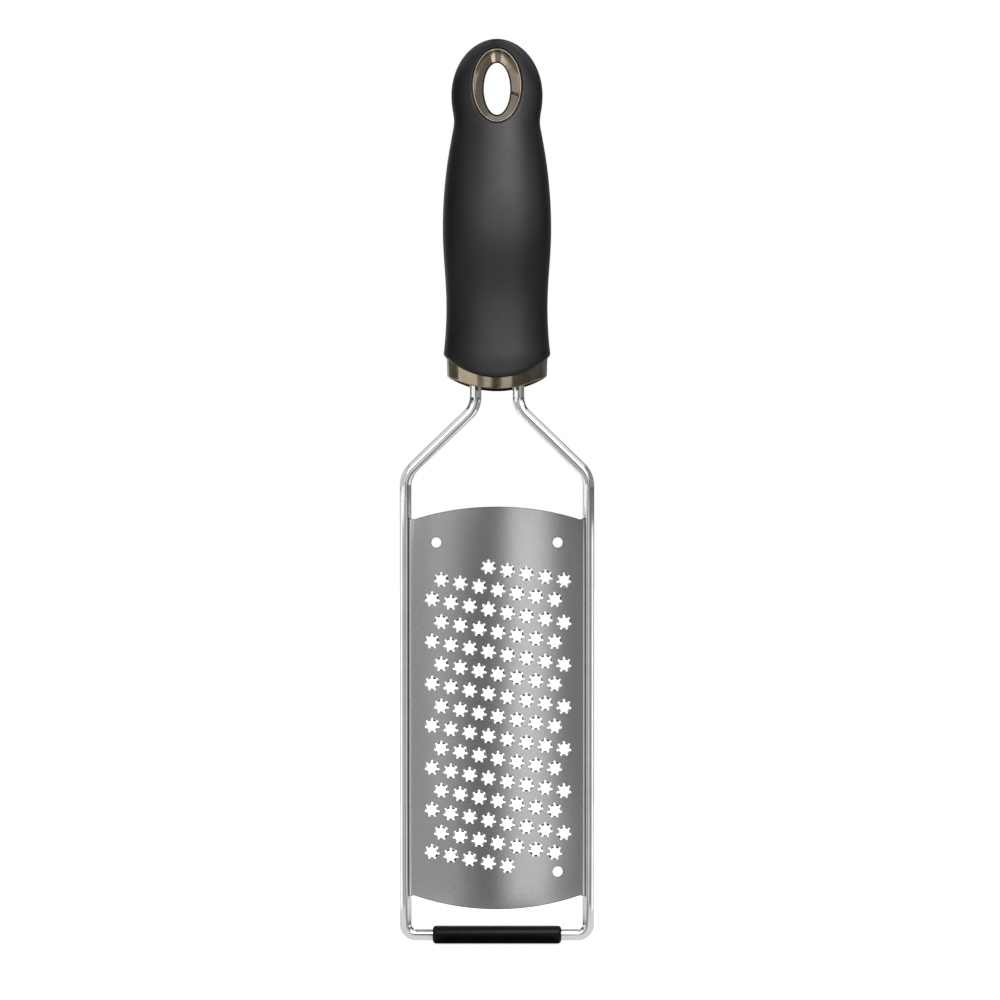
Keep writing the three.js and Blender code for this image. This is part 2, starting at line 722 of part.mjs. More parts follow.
function blade() {
  const sheet = new Sheet();
  const rounds = roundCells();
  const cells = [...starCells(rounds), ...rounds];
  const stops = lineStops(cells);
  // The corners on a line between two heights, in order from the first height to the second.
  const between = (line, first, second) => {
    const isInside = (v) => (v - first) * (second - v) > 0;
    const isApart = (v) => Math.min(Math.abs(v - first), Math.abs(v - second)) > samePoint;
    const found = [];
    for (const v of stops[line].filter((stop) => isInside(stop) && isApart(stop))) {
      if (found.every((other) => Math.abs(other - v) > samePoint)) {
        found.push(v);
      }
    }
    found.sort((a, b) => Math.abs(a - first) - Math.abs(b - first));
    return found.map((v) => [lines[line], v]);
  };
  // The outline, anticlockwise, of what lies between two lines and two ends.
  const outlineOf = (from, to, topOn, bottomOn) => {
    const across = lines.slice(from, to + 1).map((_, i) => from + i);
    return [
      ...across.map((line) => [lines[line], bottomOn(line)]),
      ...between(to, bottomOn(to), topOn(to)),
      ...across.toReversed().map((line) => [lines[line], topOn(line)]),
      ...between(from, topOn(from), bottomOn(from)),
    ];
  };
  for (const cell of cells) {
    const topOn = (line) => cellEnd(cell, line, 1);
    const bottomOn = (line) => cellEnd(cell, line, -1);
    sheet.fillRound(outlineOf(cell.from, cell.to, topOn, bottomOn), cell.hole);
    if (cell.teeth) {
      raiseTeeth(sheet, cell.u, cell.v, cell.hole);
    }
  }
  // Plain panels fill each strip between two lines wherever no cell covers it.
  for (let strip = 0; strip < lines.length - 1; strip++) {
    const covering = cells.filter((cell) => cell.from <= strip && cell.to > strip);
    covering.sort((a, b) => cellEnd(b, strip, 1) - cellEnd(a, strip, 1));
    const tops = [
      (line) => bladeCentreZ + sheetHalfLength(lines[line]),
      ...covering.map((cell) => (line) => cellEnd(cell, line, -1)),
    ];
    const bottoms = [
      ...covering.map((cell) => (line) => cellEnd(cell, line, 1)),
      (line) => bladeCentreZ - sheetHalfLength(lines[line]),
    ];
    tops.forEach((topOn, i) => {
      const bottomOn = bottoms[i];
      if (topOn(strip) - bottomOn(strip) > samePoint) {
        sheet.fill(outlineOf(strip, strip + 1, topOn, bottomOn));
      }
    });
  }
  return sheet.geometry();
}

// Materials and assembly

const softBlack = { color: 0x1c1c1b, metalness: 0, roughness: 0.62 };
const corePlastic = { color: 0x26262a, metalness: 0, roughness: 0.5 };
const bronze = { color: 0x86765c, metalness: 1, roughness: 0.3 };
const brightWire = { color: 0xd2d3d4, metalness: 1, roughness: 0.14 };
const bladeSteel = { color: 0xa3a3a2, metalness: 1, roughness: 0.34 };
const footRubber = { color: 0x0c0c0c, metalness: 0, roughness: 0.42 };

const grater = new THREE.Group();

function addPiece(name, geometry, finish) {
  const mesh = new THREE.Mesh(geometry, new THREE.MeshStandardMaterial(finish));
  mesh.name = name;
  grater.add(mesh);
  return mesh;
}

addPiece("soft_grip", softGrip(), softBlack);
addPiece("handle_core", handleCore(), corePlastic);
addPiece("end_collar", endCollar(), bronze);
addPiece("hang_ring_front", hangRing(-1), bronze);
addPiece("hang_ring_back", hangRing(1), bronze);
addPiece("wire_frame", wireFrame(), brightWire);
addPiece("blade", blade(), bladeSteel);

const foot = addPiece("foot_sleeve", footSleeve(), footRubber);
foot.rotation.z = Math.PI / 2;
foot.position.z = crossbarZ;

export default grater;
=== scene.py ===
import json
from math import asin, atan2, ceil, copysign, cos, exp, hypot, inf, pi, radians, sin, sqrt, tan

import bmesh
import bpy
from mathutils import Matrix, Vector, geometry


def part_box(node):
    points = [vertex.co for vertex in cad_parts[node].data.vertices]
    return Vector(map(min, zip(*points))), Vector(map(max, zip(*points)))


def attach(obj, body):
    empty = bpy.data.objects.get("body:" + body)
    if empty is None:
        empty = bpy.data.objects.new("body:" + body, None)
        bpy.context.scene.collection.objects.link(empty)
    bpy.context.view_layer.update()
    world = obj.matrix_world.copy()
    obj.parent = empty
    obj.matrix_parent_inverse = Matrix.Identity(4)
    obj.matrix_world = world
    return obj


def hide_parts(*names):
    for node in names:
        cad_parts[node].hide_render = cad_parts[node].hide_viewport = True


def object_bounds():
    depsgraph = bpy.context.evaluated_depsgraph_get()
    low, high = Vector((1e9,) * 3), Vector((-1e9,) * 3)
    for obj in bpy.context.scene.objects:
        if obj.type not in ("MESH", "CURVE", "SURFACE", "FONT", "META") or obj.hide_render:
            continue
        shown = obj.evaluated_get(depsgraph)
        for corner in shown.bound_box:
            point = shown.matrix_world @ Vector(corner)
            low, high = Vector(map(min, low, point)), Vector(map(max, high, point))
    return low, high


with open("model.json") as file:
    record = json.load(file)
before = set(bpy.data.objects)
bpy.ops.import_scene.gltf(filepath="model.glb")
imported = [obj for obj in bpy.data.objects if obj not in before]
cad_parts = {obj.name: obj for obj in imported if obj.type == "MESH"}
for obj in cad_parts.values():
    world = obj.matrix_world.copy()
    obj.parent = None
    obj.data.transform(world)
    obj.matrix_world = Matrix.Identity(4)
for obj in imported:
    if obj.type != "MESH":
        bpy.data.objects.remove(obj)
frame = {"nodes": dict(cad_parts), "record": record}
cad_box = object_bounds()

# Parmesan grater, finished surfaces. Sizes are millimetres and become metres when a mesh is made.
# +Z runs up the handle, +X is to the right, the teeth face -Y, and the origin is the middle of the hang hole.
MM = 0.001
WELD = 0.002  # points closer than this are one
CREASE = radians(28)  # edges that turn more than this stay crisp
PAINTED_SHADE_MARK = "painted_shade_mark"  # attribute for painted shade: up to 1 where cut edges, curls, teeth, the rings' throats, joints and rims and the collar's lower edge are painted dark
STRAIGHT_PLACE = "straight_place"  # attribute with the place on the wire before it was bent


def node_box(node):
    """Lowest and highest corner of a CAD node."""
    return [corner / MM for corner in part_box(node)]


grip_low, grip_high = node_box("soft_grip")
ring_low, ring_high = node_box("hang_ring_back")
collar_low, collar_high = node_box("end_collar")
wire_low, wire_high = node_box("wire_frame")
foot_high = node_box("foot_sleeve")[1]

# Handle: half width and half depth at stations down it
HEAD_TRIM = 0.45  # how much lower the head is than its CAD node
GRIP_TOP = grip_high.z - HEAD_TRIM
GRIP_END = grip_low.z
HEAD_Z = -2.5
HEAD = (16.0, 9.6)
NECK_Z = -11.1
NECK = (14.6, 9.6)
BELLY_Z = -49.0
BELLY = (grip_high.x, grip_high.y)
WAIST_Z = -76.5
WAIST = (17.72, 12.9)
FLARE_Z = -93.2
FLARE = (18.75, 13.7)
HEAD_FLATNESS = 3  # exponent of the dome seen from the side
FULLNESS = 2.3  # exponent of the oval section
NECK_SOFTNESS = 0.9
FLARE_FADE = 2.0  # length over which the flare's slope dies out
GRIP_WALL = 2.4
GRIP_EDGE_RISE = FLARE_Z - GRIP_END
GRIP_EDGE_ROUND = 0.6
SEAT_GAP = 0.3  # groove of the grip round the hang ring
SEAT_ROUND = 0.45  # rounding of the groove's outer edge
GROOVE_DEPTH = 1.1
GROOVE_GAP = 0.03  # between the ring and the grip below the groove

# Hang ring
RIM = (ring_high.x, ring_high.z)
FUNNEL_SPREAD = 3.78  # from the throat out to the rim
THROAT = (RIM[0] - FUNNEL_SPREAD, RIM[1] - FUNNEL_SPREAD)
RING_MIDDLE = ring_low.y
RIM_WIDTH = 0.32
RIM_ROUND = 0.16
RIM_PROUD = 0.25
RIM_SHADE = 0.45  # how much painted shade dims the rim's highlight
THROAT_BEVEL = 0.3
THROAT_SHARE = 0.028  # part of the ring's depth that the bevel at the throat takes
THROAT_FADE = 0.06  # part of the depth over which the painted shade at the throat ends

# End collar
COLLAR = (collar_high.x, collar_high.y)
COLLAR_END = collar_low.z
COLLAR_EDGE_RISE = 4.7
COLLAR_SLOPE = 0.047  # how much the wall leans in
COLLAR_ROUND = 0.3
COLLAR_HOLD = 0.06  # height of the row that keeps the wall straight above its rounded edge
COLLAR_WALL = 1.6
COLLAR_LAND = 0.2  # flat of the lower edge
COLLAR_RECESS = 0.7  # how deep the end plate sits
COLLAR_TRIM = 0.3  # how much shorter the collar is than its CAD node
COLLAR_TUCK = 0.22  # how far the collar reaches up into the gap under the grip

# Wire frame
WIRE_RADIUS = 2.05
ROD_X = wire_high.x - WIRE_RADIUS
CROSSBAR_Z = wire_low.z + WIRE_RADIUS
TANG_TOP = wire_high.z
TANG_X = 7.5
TANG_HOLE_GAP = 0.06  # between a tang and its hole in the collar
TANG_STRAIGHT = 2.07  # straight stretch of a tang below the collar
SHOULDER_DROP = 23.7
SHOULDER_BEND = 8.8
CORNER_BEND = 3.7

# Foot sleeve
FOOT_RADIUS = foot_high.z - CROSSBAR_Z
FOOT_HALF = foot_high.x
FOOT_ROUND = 1.2
FOOT_GAP = 0.05  # between the sleeve and the crossbar

# Blade sheet
BLADE_TOP = -146.2
SHEET = 0.4
CROWN_RADIUS = 150.0
END_ARC_RISE = 4.46
CREASE_INSET = 3.1  # from a rod's middle in to where the lip starts
CREASE_PLACE = (ROD_X - CREASE_INSET, -2.86)
LIP_BEND = 0.8
LIP_TILT = radians(27)
LIP_FLAT = 1.12
CURL_BEND = 0.7
CURL_TILT = radians(80)
CURL_SHADE_SHARE = 0.45  # part of the lip's curl, from its edge, that gets painted shade where it tucks in against the rod
EAR = 0.5  # how far the ends of the lips stand out past the face
EDGE_BAND = 0.3  # width over which the painted shade along a cut edge fades
FOOT_CLEARANCE = 9.7  # from the crossbar's middle up to the blade

# Star holes and round holes, with insets on the flat sheet
FIELD_TOP_INSET = 20.4
FIELD_BOTTOM_INSET = 14.5
FIELD_SIDE_INSET = 5.08
COLUMN_PITCH = 3.29
ROW_PITCH = 7.34
ROW_SLOPE = tan(radians(10))
FIELD_SHIFT = 0.35
STAR_ARMS = 7
ARM_REACH = 2.4  # to where an arm's end starts to round
ARM_WIDTH = 0.74
ARM_END = 0.3  # length of the rounded end
ARM_BLUNTNESS = 4  # exponent of the rounded end
TOOTH_RADIUS = 1.75  # inner ends of the teeth
TOOTH_HEIGHT = 0.95
ROUND_RADIUS = 1.8
ROUND_TOP_INSET = 12.5
ROUND_BOTTOM_INSET = 12.9
ROUND_SIDE_INSET = 7.88


def arc_radius(half_width, rise):
    """Radius of an arc from its half width and its rise."""
    return (half_width ** 2 + rise ** 2) / (2 * rise)


def arc_rise(radius, across):
    """How far an arc has risen at a distance from its lowest point."""
    return radius - sqrt(radius ** 2 - across ** 2)


def lerp(start, end, share):
    return start + (end - start) * share


def spread(count, start=0.0, end=1.0):
    """Even values from start to end, both included."""
    return [lerp(start, end, i / (count - 1)) for i in range(count)]


def turns(count):
    """Even angles round a full turn."""
    return [2 * pi * i / count for i in range(count)]


class Skin:
    """Points of a surface and the faces between them.

    marks says how much painted shade some points get, and straight where they were before bending."""

    def __init__(self):
        self.points = []
        self.faces = []
        self.marks = {}
        self.straight = {}

    def row(self, points, mark=None):
        first = len(self.points)
        self.points.extend(points)
        row = list(range(first, len(self.points)))
        if mark is not None:
            self.marks.update((i, mark) for i in row)
        return row

    def strips(self, rows, closed=False):
        """Quads between rows of the same length."""
        for row, other in zip(rows, rows[1:]):
            count = len(row)
            for i in range(count if closed else count - 1):
                j = (i + 1) % count
                self.faces.append((row[i], row[j], other[j], other[i]))


def add_object(name, data):
    thing = bpy.data.objects.new(name, data)
    bpy.context.scene.collection.objects.link(thing)
    return thing


def add_piece(name, skin, material, nodes):
    """Make a skin into an object that stands for CAD nodes."""
    work = bmesh.new()
    shade_layer = work.verts.layers.float.new(PAINTED_SHADE_MARK) if skin.marks else None
    straight_layer = work.verts.layers.float_vector.new(STRAIGHT_PLACE) if skin.straight else None
    corners = [work.verts.new([value * MM for value in point]) for point in skin.points]
    for i, mark in skin.marks.items():
        corners[i][shade_layer] = mark
    for i, place in skin.straight.items():
        corners[i][straight_layer] = [value * MM for value in place]
    for face in skin.faces:
        work.faces.new([corners[i] for i in face])
    bmesh.ops.remove_doubles(work, verts=work.verts, dist=WELD * MM)
    bmesh.ops.recalc_face_normals(work, faces=work.faces)
    mesh = bpy.data.meshes.new(name)
    work.to_mesh(mesh)
    work.free()
    mesh.materials.append(material)
    mesh.shade_smooth()
    mesh.set_sharp_from_angle(angle=CREASE)
    piece = add_object(name, mesh)
    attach(piece, "root")
    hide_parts(*nodes)
    return piece


# Materials

NOISE_LOW = 0.3  # the range that noise mostly fills
NOISE_HIGH = 0.7
MIX_OLD, MIX_NEW, MIX_RESULT = 6, 7, 2  # colour sockets of a mix node

slot_colour = {entry["slot"]: entry["base_color"] for entry in frame["record"]["materials"]}


def scaled(colour, factor):
    """A colour times a factor, as a socket takes it."""
    return (*(channel * factor for channel in colour), 1)


def set_inputs(tree, node, **inputs):
    """Set a node's inputs to values or link them to other nodes' outputs."""
    for name, value in inputs.items():
        socket = node.inputs[name.replace("_", " ")]
        if isinstance(value, bpy.types.NodeSocket):
            tree.links.new(value, socket)
        else:
            socket.default_value = value


def add_node(tree, kind, output, **inputs):
    """An output of a new node that has these inputs."""
    node = tree.nodes.new("ShaderNode" + kind)
    set_inputs(tree, node, **inputs)
    return node.outputs[output]


def attribute(tree, name, output):
    value = add_node(tree, "Attribute", output)
    value.node.attribute_name = name
    return value


def noise(tree, size, detail=2.0, stretch=(1, 1, 1), place=None):
    """Noise with features of about this size in millimetres, drawn out along the axes by stretch."""
    start = attribute(tree, place, "Vector") if place else add_node(tree, "TexCoord", "Object")
    scale = [1 / (size * MM * factor) for factor in stretch]
    mapped = add_node(tree, "Mapping", "Vector", Vector=start, Scale=scale)
    return add_node(tree, "TexNoise", "Fac", Vector=mapped, Scale=1.0, Detail=detail)


def vary_colour(tree, shader, base, dark, light, **grain):
    colour = add_node(tree, "ValToRGB", "Color", Fac=noise(tree, **grain))
    stops = colour.node.color_ramp.elements
    for stop, position, share in zip(stops, (NOISE_LOW, NOISE_HIGH), (dark, light)):
        stop.position = position
        stop.color = scaled(base, share)
    set_inputs(tree, shader, Base_Color=colour)


def vary_roughness(tree, shader, low, high, **grain):
    roughness = add_node(
        tree, "MapRange", "Result", Value=noise(tree, **grain),
        From_Min=NOISE_LOW, From_Max=NOISE_HIGH, To_Min=low, To_Max=high)
    set_inputs(tree, shader, Roughness=roughness)


def add_relief(tree, shader, height, **grain):
    """Relief of this height in millimetres."""
    normal = add_node(tree, "Bump", "Normal", Height=noise(tree, **grain), Distance=height * MM)
    set_inputs(tree, shader, Normal=normal)


def paint_shade(tree, shader, colour):
    """Paint shade: turn the colour that the shader has into this darker one as far as the shade mark says."""
    mix = tree.nodes.new("ShaderNodeMix")
    mix.data_type = "RGBA"
    tree.links.new(attribute(tree, PAINTED_SHADE_MARK, "Fac"), mix.inputs["Factor"])
    tree.links.new(shader.inputs["Base Color"].links[0].from_socket, mix.inputs[MIX_OLD])
    mix.inputs[MIX_NEW].default_value = colour
    tree.links.new(mix.outputs[MIX_RESULT], shader.inputs["Base Color"])


def new_material(name):
    material = bpy.data.materials.new(name)
    material.use_nodes = True
    return material, material.node_tree


def finished(name, slot, colour, roughness, relief, edges=None, **constants):
    """A material in a slot's colour. Noise varies its colour, roughness and relief.

    The shares in colour, and edges, which is the painted shade's colour, are of the slot's colour. Constants
    are set on the shader's sockets."""
    material, tree = new_material(name)
    shader = tree.nodes["Principled BSDF"]
    set_inputs(tree, shader, **constants)
    base = slot_colour[slot]
    vary_colour(tree, shader, base, **colour)
    # edges, if given, is painted shade wherever the shade mark is above 0
    if edges is not None:
        paint_shade(tree, shader, scaled(base, edges))
    vary_roughness(tree, shader, **roughness)
    add_relief(tree, shader, **relief)
    return material


def soft_touch():
    """Black soft-touch coating with a fine pebble."""
    return finished(
        "soft_touch_black", "soft_grip",
        colour=dict(size=9, detail=3, dark=0.11, light=0.15),
        roughness=dict(size=5, detail=4, low=0.37, high=0.43),
        relief=dict(size=0.22, height=0.006),
        Specular_IOR_Level=0.3)


def core_plastic():
    return finished(
        "core_plastic", "core_plastic",
        colour=dict(size=4, dark=0.85, light=1.15),
        roughness=dict(size=1.5, low=0.42, high=0.55),
        relief=dict(size=0.3, height=0.01))


def bronze():
    """Bronze-coloured anodised trim with a fine satin grain, and painted shade where the shade mark says."""
    return finished(
        "bronze_trim", "bronze_trim",
        colour=dict(size=3, detail=3, dark=0.93, light=1.06),
        roughness=dict(size=0.8, detail=3, low=0.11, high=0.14),
        relief=dict(size=0.12, height=0.0003),
        # edges is the colour of the painted shade on the rings' throats, joints and rims and on the collar's
        # lower edge
        edges=0.08,
        Metallic=1.0)


def bright_wire():
    """Polished drawn wire with faint draw lines along it."""
    return finished(
        "bright_wire", "bright_wire",
        colour=dict(size=6, detail=3, dark=0.96, light=1.05),
        roughness=dict(size=0.5, detail=3, stretch=(1, 1, 40), place=STRAIGHT_PLACE, low=0.06, high=0.1),
        relief=dict(size=0.3, stretch=(1, 1, 60), place=STRAIGHT_PLACE, height=0.0002),
        Metallic=1.0)


def blade_steel():
    """Satin stainless sheet with a fine even grain, and painted shade along its cut edges, lip curls and
    teeth.
    """
    return finished(
        "blade_steel", "blade_steel",
        colour=dict(size=0.6, detail=4, dark=0.95, light=1.05),
        roughness=dict(size=0.5, detail=3, low=0.13, high=0.17),
        relief=dict(size=0.25, height=0.0004),
        # edges is the colour of the painted shade, a share of the steel's
        edges=0.1,
        Metallic=1.0)


def foot_rubber():
    return finished(
        "foot_rubber", "foot_rubber",
        colour=dict(size=2.5, detail=3, dark=0.15, light=0.25),
        roughness=dict(size=1.2, detail=3, low=0.3, high=0.38),
        relief=dict(size=0.3, height=0.008),
        Specular_IOR_Level=0.13)


# Handle form

GRIP_EDGE_RADIUS = arc_radius(FLARE[0], GRIP_EDGE_RISE)
COLLAR_EDGE_RADIUS = arc_radius(COLLAR[0], COLLAR_EDGE_RISE)
OVAL_POWER = 2 / FULLNESS


def smooth_max(one, other, softness):
    return (one + other + sqrt((one - other) ** 2 + softness ** 2)) / 2


def below_head(z, axis):
    """Half width (axis 0) or half depth (axis 1) of the handle below its head."""
    head, neck, belly, waist, flare = [station[axis] for station in (HEAD, NECK, BELLY, WAIST, FLARE)]
    if z > BELLY_Z:
        down = (HEAD_Z - z) / (HEAD_Z - NECK_Z)
        head_side = lerp(head, neck, down ** 2 if down < 1 else 2 * down - 1)
        left = (z - BELLY_Z) / (NECK_Z - BELLY_Z)
        belly_side = lerp(neck, belly, 1 - left ** 2)
        fade = max(1 - abs(z - NECK_Z) / (HEAD_Z - NECK_Z), 0)
        return smooth_max(head_side, belly_side, NECK_SOFTNESS * fade)
    if z > WAIST_Z:
        down = (BELLY_Z - z) / (BELLY_Z - WAIST_Z)
        return lerp(belly, waist, (1 - cos(pi * down)) / 2)
    if z > FLARE_Z:
        return lerp(waist, flare, ((WAIST_Z - z) / (WAIST_Z - FLARE_Z)) ** 2)
    slope = 2 * (flare - waist) / (WAIST_Z - FLARE_Z)
    return flare + slope * FLARE_FADE * (1 - exp((z - FLARE_Z) / FLARE_FADE))


def handle_section(z, inset=0.0):
    """Half width and half depth of the handle at a height, this far inside its surface."""
    if z <= HEAD_Z:
        return below_head(z, 0) - inset, below_head(z, 1) - inset
    rise = min((z - HEAD_Z) / (GRIP_TOP - inset - HEAD_Z), 1)
    width = (HEAD[0] - inset) * sqrt(1 - rise ** 2)
    depth = (HEAD[1] - inset) * (1 - rise ** HEAD_FLATNESS) ** (1 / HEAD_FLATNESS)
    return width, depth


def oval_depth(x, width, depth):
    """Half depth of the full oval section at a place across it."""
    share = min(abs(x) / width, 1) if width > 0 else 1
    return depth * (1 - share ** FULLNESS) ** (1 / FULLNESS)


def depth_at(x, z, inset=0.0):
    """Half depth of the handle at a point of its front view."""
    return oval_depth(x, *handle_section(z, inset))


def signed_power(value, power):
    return copysign(abs(value) ** power, value)


def oval_point(width, depth, angle):
    """A point of the full oval section."""
    return signed_power(cos(angle), OVAL_POWER) * width, signed_power(sin(angle), OVAL_POWER) * depth


def oval_normal(x, y, width, depth):
    """Outward direction of the full oval section."""
    across = signed_power(x / width, FULLNESS - 1) / width
    along = signed_power(y / depth, FULLNESS - 1) / depth
    length = hypot(across, along)
    return across / length, along / length


def grip_edge(x):
    """Height of the grip's lower edge at a place across it."""
    return GRIP_END + arc_rise(GRIP_EDGE_RADIUS, x)


# Grip shell: rings round the hang hole down to a line across the handle, then rows to the lower edge

HEAD_LINE_Z = -22.0
SIDE_ROWS = 10
DOME_STEPS = 72
HALF_COLUMNS = 57
HEAD_RINGS = 22
GRIP_ROWS = 64
EDGE_STEPS = 6
ROUNDING = [  # how far in and how far from the end a rounded edge is, as shares of its radius
    (1 - cos(turn), 1 - sin(turn)) for turn in spread(EDGE_STEPS, 0, pi / 2)]
LINE_FALL = 6  # exponent of the weight's fall along the line


def head_outline(inset):
    """Front view of the head, anticlockwise from the right end of the line below it, with its weights.

    The weight is 1 on the silhouette, where rings crowd together, and falls off along the line."""
    right = [(handle_section(z, inset)[0], z, 1.0) for z in spread(SIDE_ROWS, HEAD_LINE_Z, HEAD_Z)[:-1]]
    outline = list(right)
    crest = GRIP_TOP - inset - HEAD_Z
    for angle in spread(DOME_STEPS + 1, 0, pi):
        outline.append(((HEAD[0] - inset) * cos(angle), HEAD_Z + crest * sin(angle), 1.0))
    outline += [(-x, z, weight) for x, z, weight in reversed(right)]
    width, depth = handle_section(HEAD_LINE_Z, inset)
    for angle in spread(HALF_COLUMNS, pi, 2 * pi)[1:-1]:
        outline.append((oval_point(width, depth, angle)[0], HEAD_LINE_Z, abs(cos(angle)) ** LINE_FALL))
    return outline


def head_rings(side, inset, seat):
    """Rings of points from the seat of the hang ring out to the outline of the head."""
    outline = head_outline(inset)
    rings = []
    for share in spread(HEAD_RINGS):
        ring = []
        for x, z, weight in outline:
            angle = atan2(z / seat[1], x / seat[0])
            way = lerp(share, sin(share * pi / 2), weight)
            ring_x = lerp(seat[0] * cos(angle), x, way)
            ring_z = lerp(seat[1] * sin(angle), z, way)
            ring.append((ring_x, side * depth_at(ring_x, ring_z, inset), ring_z))
        rings.append(ring)
    return rings


def line_below_head(ring):
    """The points of the head's last ring that lie on the line below it, from left to right."""
    last_left = 2 * (SIDE_ROWS - 1) + DOME_STEPS
    return ring[last_left:] + ring[:1]


def grip_rows(side, inset, edge_round):
    """Rows from below the head to the lower edge, which has a rounded corner if edge_round isn't 0."""
    angles = spread(HALF_COLUMNS, pi, 2 * pi)
    rows = []
    for share in spread(GRIP_ROWS)[1:]:
        row = []
        for angle in angles:
            end_x = oval_point(FLARE[0] - inset, 0, angle)[0]
            z = lerp(HEAD_LINE_Z, grip_edge(end_x) + edge_round, share)
            x, y = oval_point(*handle_section(z, inset), angle)
            row.append((x, -side * y, z))
        rows.append(row)
    if edge_round == 0:
        return rows
    last = rows[-1]
    for inward, rise in ROUNDING[1:]:
        row = []
        for x, y, z in last:
            across, along = oval_normal(x, y, *handle_section(z, inset))
            new_x = x - across * edge_round * inward
            new_y = y - along * edge_round * inward
            row.append((new_x, new_y, grip_edge(new_x) + edge_round * rise))
        rows.append(row)
    return rows


def grip_half(skin, side):
    """One half of the shell: outer skin, rounded seat edge, inner skin and lower lip."""
    tight_seat, seat, wide_seat = [
        (RIM[0] + gap, RIM[1] + gap) for gap in (GROOVE_GAP, SEAT_GAP, SEAT_GAP + SEAT_ROUND)]
    outer_rings = head_rings(side, 0, wide_seat)
    inner_rings = head_rings(side, GRIP_WALL, tight_seat)
    seat_rings = []
    for groove in (tight_seat, seat):
        seat_rings.append([
            (x * groove[0] / wide_seat[0], y - side * GROOVE_DEPTH, z * groove[1] / wide_seat[1])
            for x, y, z in outer_rings[0]])
    for down, out in reversed(ROUNDING[1:]):
        width, height = [1 - SEAT_ROUND * (1 - out) / half for half in wide_seat]
        seat_rings.append([
            (x * width, y - side * SEAT_ROUND * down, z * height) for x, y, z in outer_rings[0]])
    rings = [skin.row(ring) for ring in reversed(inner_rings)]
    last_inner = rings[0]
    rings += [skin.row(ring) for ring in seat_rings + outer_rings]
    skin.strips(rings, closed=True)
    outer = [line_below_head(rings[-1])] + [skin.row(row) for row in grip_rows(side, 0, GRIP_EDGE_ROUND)]
    inner = [line_below_head(last_inner)] + [skin.row(row) for row in grip_rows(side, GRIP_WALL, 0)]
    skin.strips(outer + inner[::-1])


def make_grip():
    skin = Skin()
    for side in (-1, 1):
        grip_half(skin, side)
    add_piece("grip_shell", skin, soft_touch(), ["soft_grip"])


# Hang rings

RING_STEPS = 176
FUNNEL_ROWS = 8
JOINT_ANGLE = radians(-12.7)
JOINT_HALF_TURN = radians(2.7)
JOINT_FLOOR = 0.5  # part of the joint's width that its floor takes
JOINT_CLEAR = 1.5 * JOINT_HALF_TURN  # no other column is this near
JOINT_DEPTH = 0.35
JOINT_SKEW = radians(9.5)  # the joint runs this far down on its way out
JOINT_REACH = radians(30)  # the skew dies out over this turn
RIM_STEPS = 9


def ring_angles():
    """Angles round the ring, closer together at the fine joint line in its right wall."""
    even = [angle for angle in spread(RING_STEPS + 1, -pi, pi)[:-1]
            if abs(angle - JOINT_ANGLE) > JOINT_CLEAR]
    fine = [JOINT_ANGLE + share * JOINT_HALF_TURN for share in (-1, -JOINT_FLOOR, JOINT_FLOOR, 1)]
    return sorted(even + fine)


def skewed(angle, share):
    """The angle of a column of the ring, at a share of the way out, beside the slanting joint."""
    nearness = max(1 - abs(angle - JOINT_ANGLE) / JOINT_REACH, 0)
    return angle + JOINT_SKEW * (0.5 - share) * nearness


def ring_point(side, angle, outward, drop=None, share=None):
    """A point at a distance out from the throat: below the crest by drop, or at a share of the depth."""
    x = (THROAT[0] + outward) * cos(angle)
    z = (THROAT[1] + outward) * sin(angle)
    crest = depth_at(x, z) + RIM_PROUD
    y = crest - drop if share is None else lerp(RING_MIDDLE, crest, share)
    return x, side * y, z


def make_ring(name, side, node, material):
    """A funnel ring with painted shade on the bevel at its throat, a sunk joint line with painted shade on
    its floor, and a rounded rim dimmed by painted shade.
    """
    skin = Skin()
    angles = ring_angles()
    sunk_turn = JOINT_HALF_TURN * (1 + JOINT_FLOOR) / 2
    funnel_end = FUNNEL_SPREAD - RIM_WIDTH
    rows = []
    # the bevel at the throat gets full painted shade, as a shadow where the two rings meet
    for share in [0, THROAT_SHARE] + spread(FUNNEL_ROWS, THROAT_FADE, 1)[:-1]:
        on_bevel = share <= THROAT_SHARE
        row = []
        for angle in angles:
            outward = lerp(THROAT_BEVEL, funnel_end, share) if share > 0 else 0
            if abs(angle - JOINT_ANGLE) < sunk_turn and not on_bevel:
                outward += JOINT_DEPTH
                # painted shade on the sunk floor of the joint
                skin.marks[len(skin.points) + len(row)] = 1.0
            row.append(ring_point(side, skewed(angle, share), outward, share=share))
        rows.append(skin.row(row, 1.0 if on_bevel else None))
    outer_angles = [skewed(angle, 1) for angle in angles]
    # the rim gets part painted shade, which dims its highlight
    for turn in spread(RIM_STEPS, 0, pi):
        outward = FUNNEL_SPREAD - RIM_WIDTH * (1 + cos(turn)) / 2
        drop = RIM_ROUND * (1 - sin(turn))
        rim = [ring_point(side, angle, outward, drop=drop) for angle in outer_angles]
        rows.append(skin.row(rim, RIM_SHADE))
    rows.append(skin.row([ring_point(side, angle, FUNNEL_SPREAD, share=0) for angle in outer_angles]))
    skin.strips(rows + rows[:1], closed=True)
    add_piece(name, skin, material, [node])


# End collar: a cup with a rounded rim and a recessed end plate that has a snug hole for each tang

COLLAR_SIDE_STEPS = 15
COLLAR_MIDDLE_STEPS = 13
TANG_HOLE_STEPS = 17
TANG_HOLE_RADIUS = WIRE_RADIUS + TANG_HOLE_GAP
COLLAR_SHOULDER = grip_edge(COLLAR[0])
COLLAR_ROWS = 10


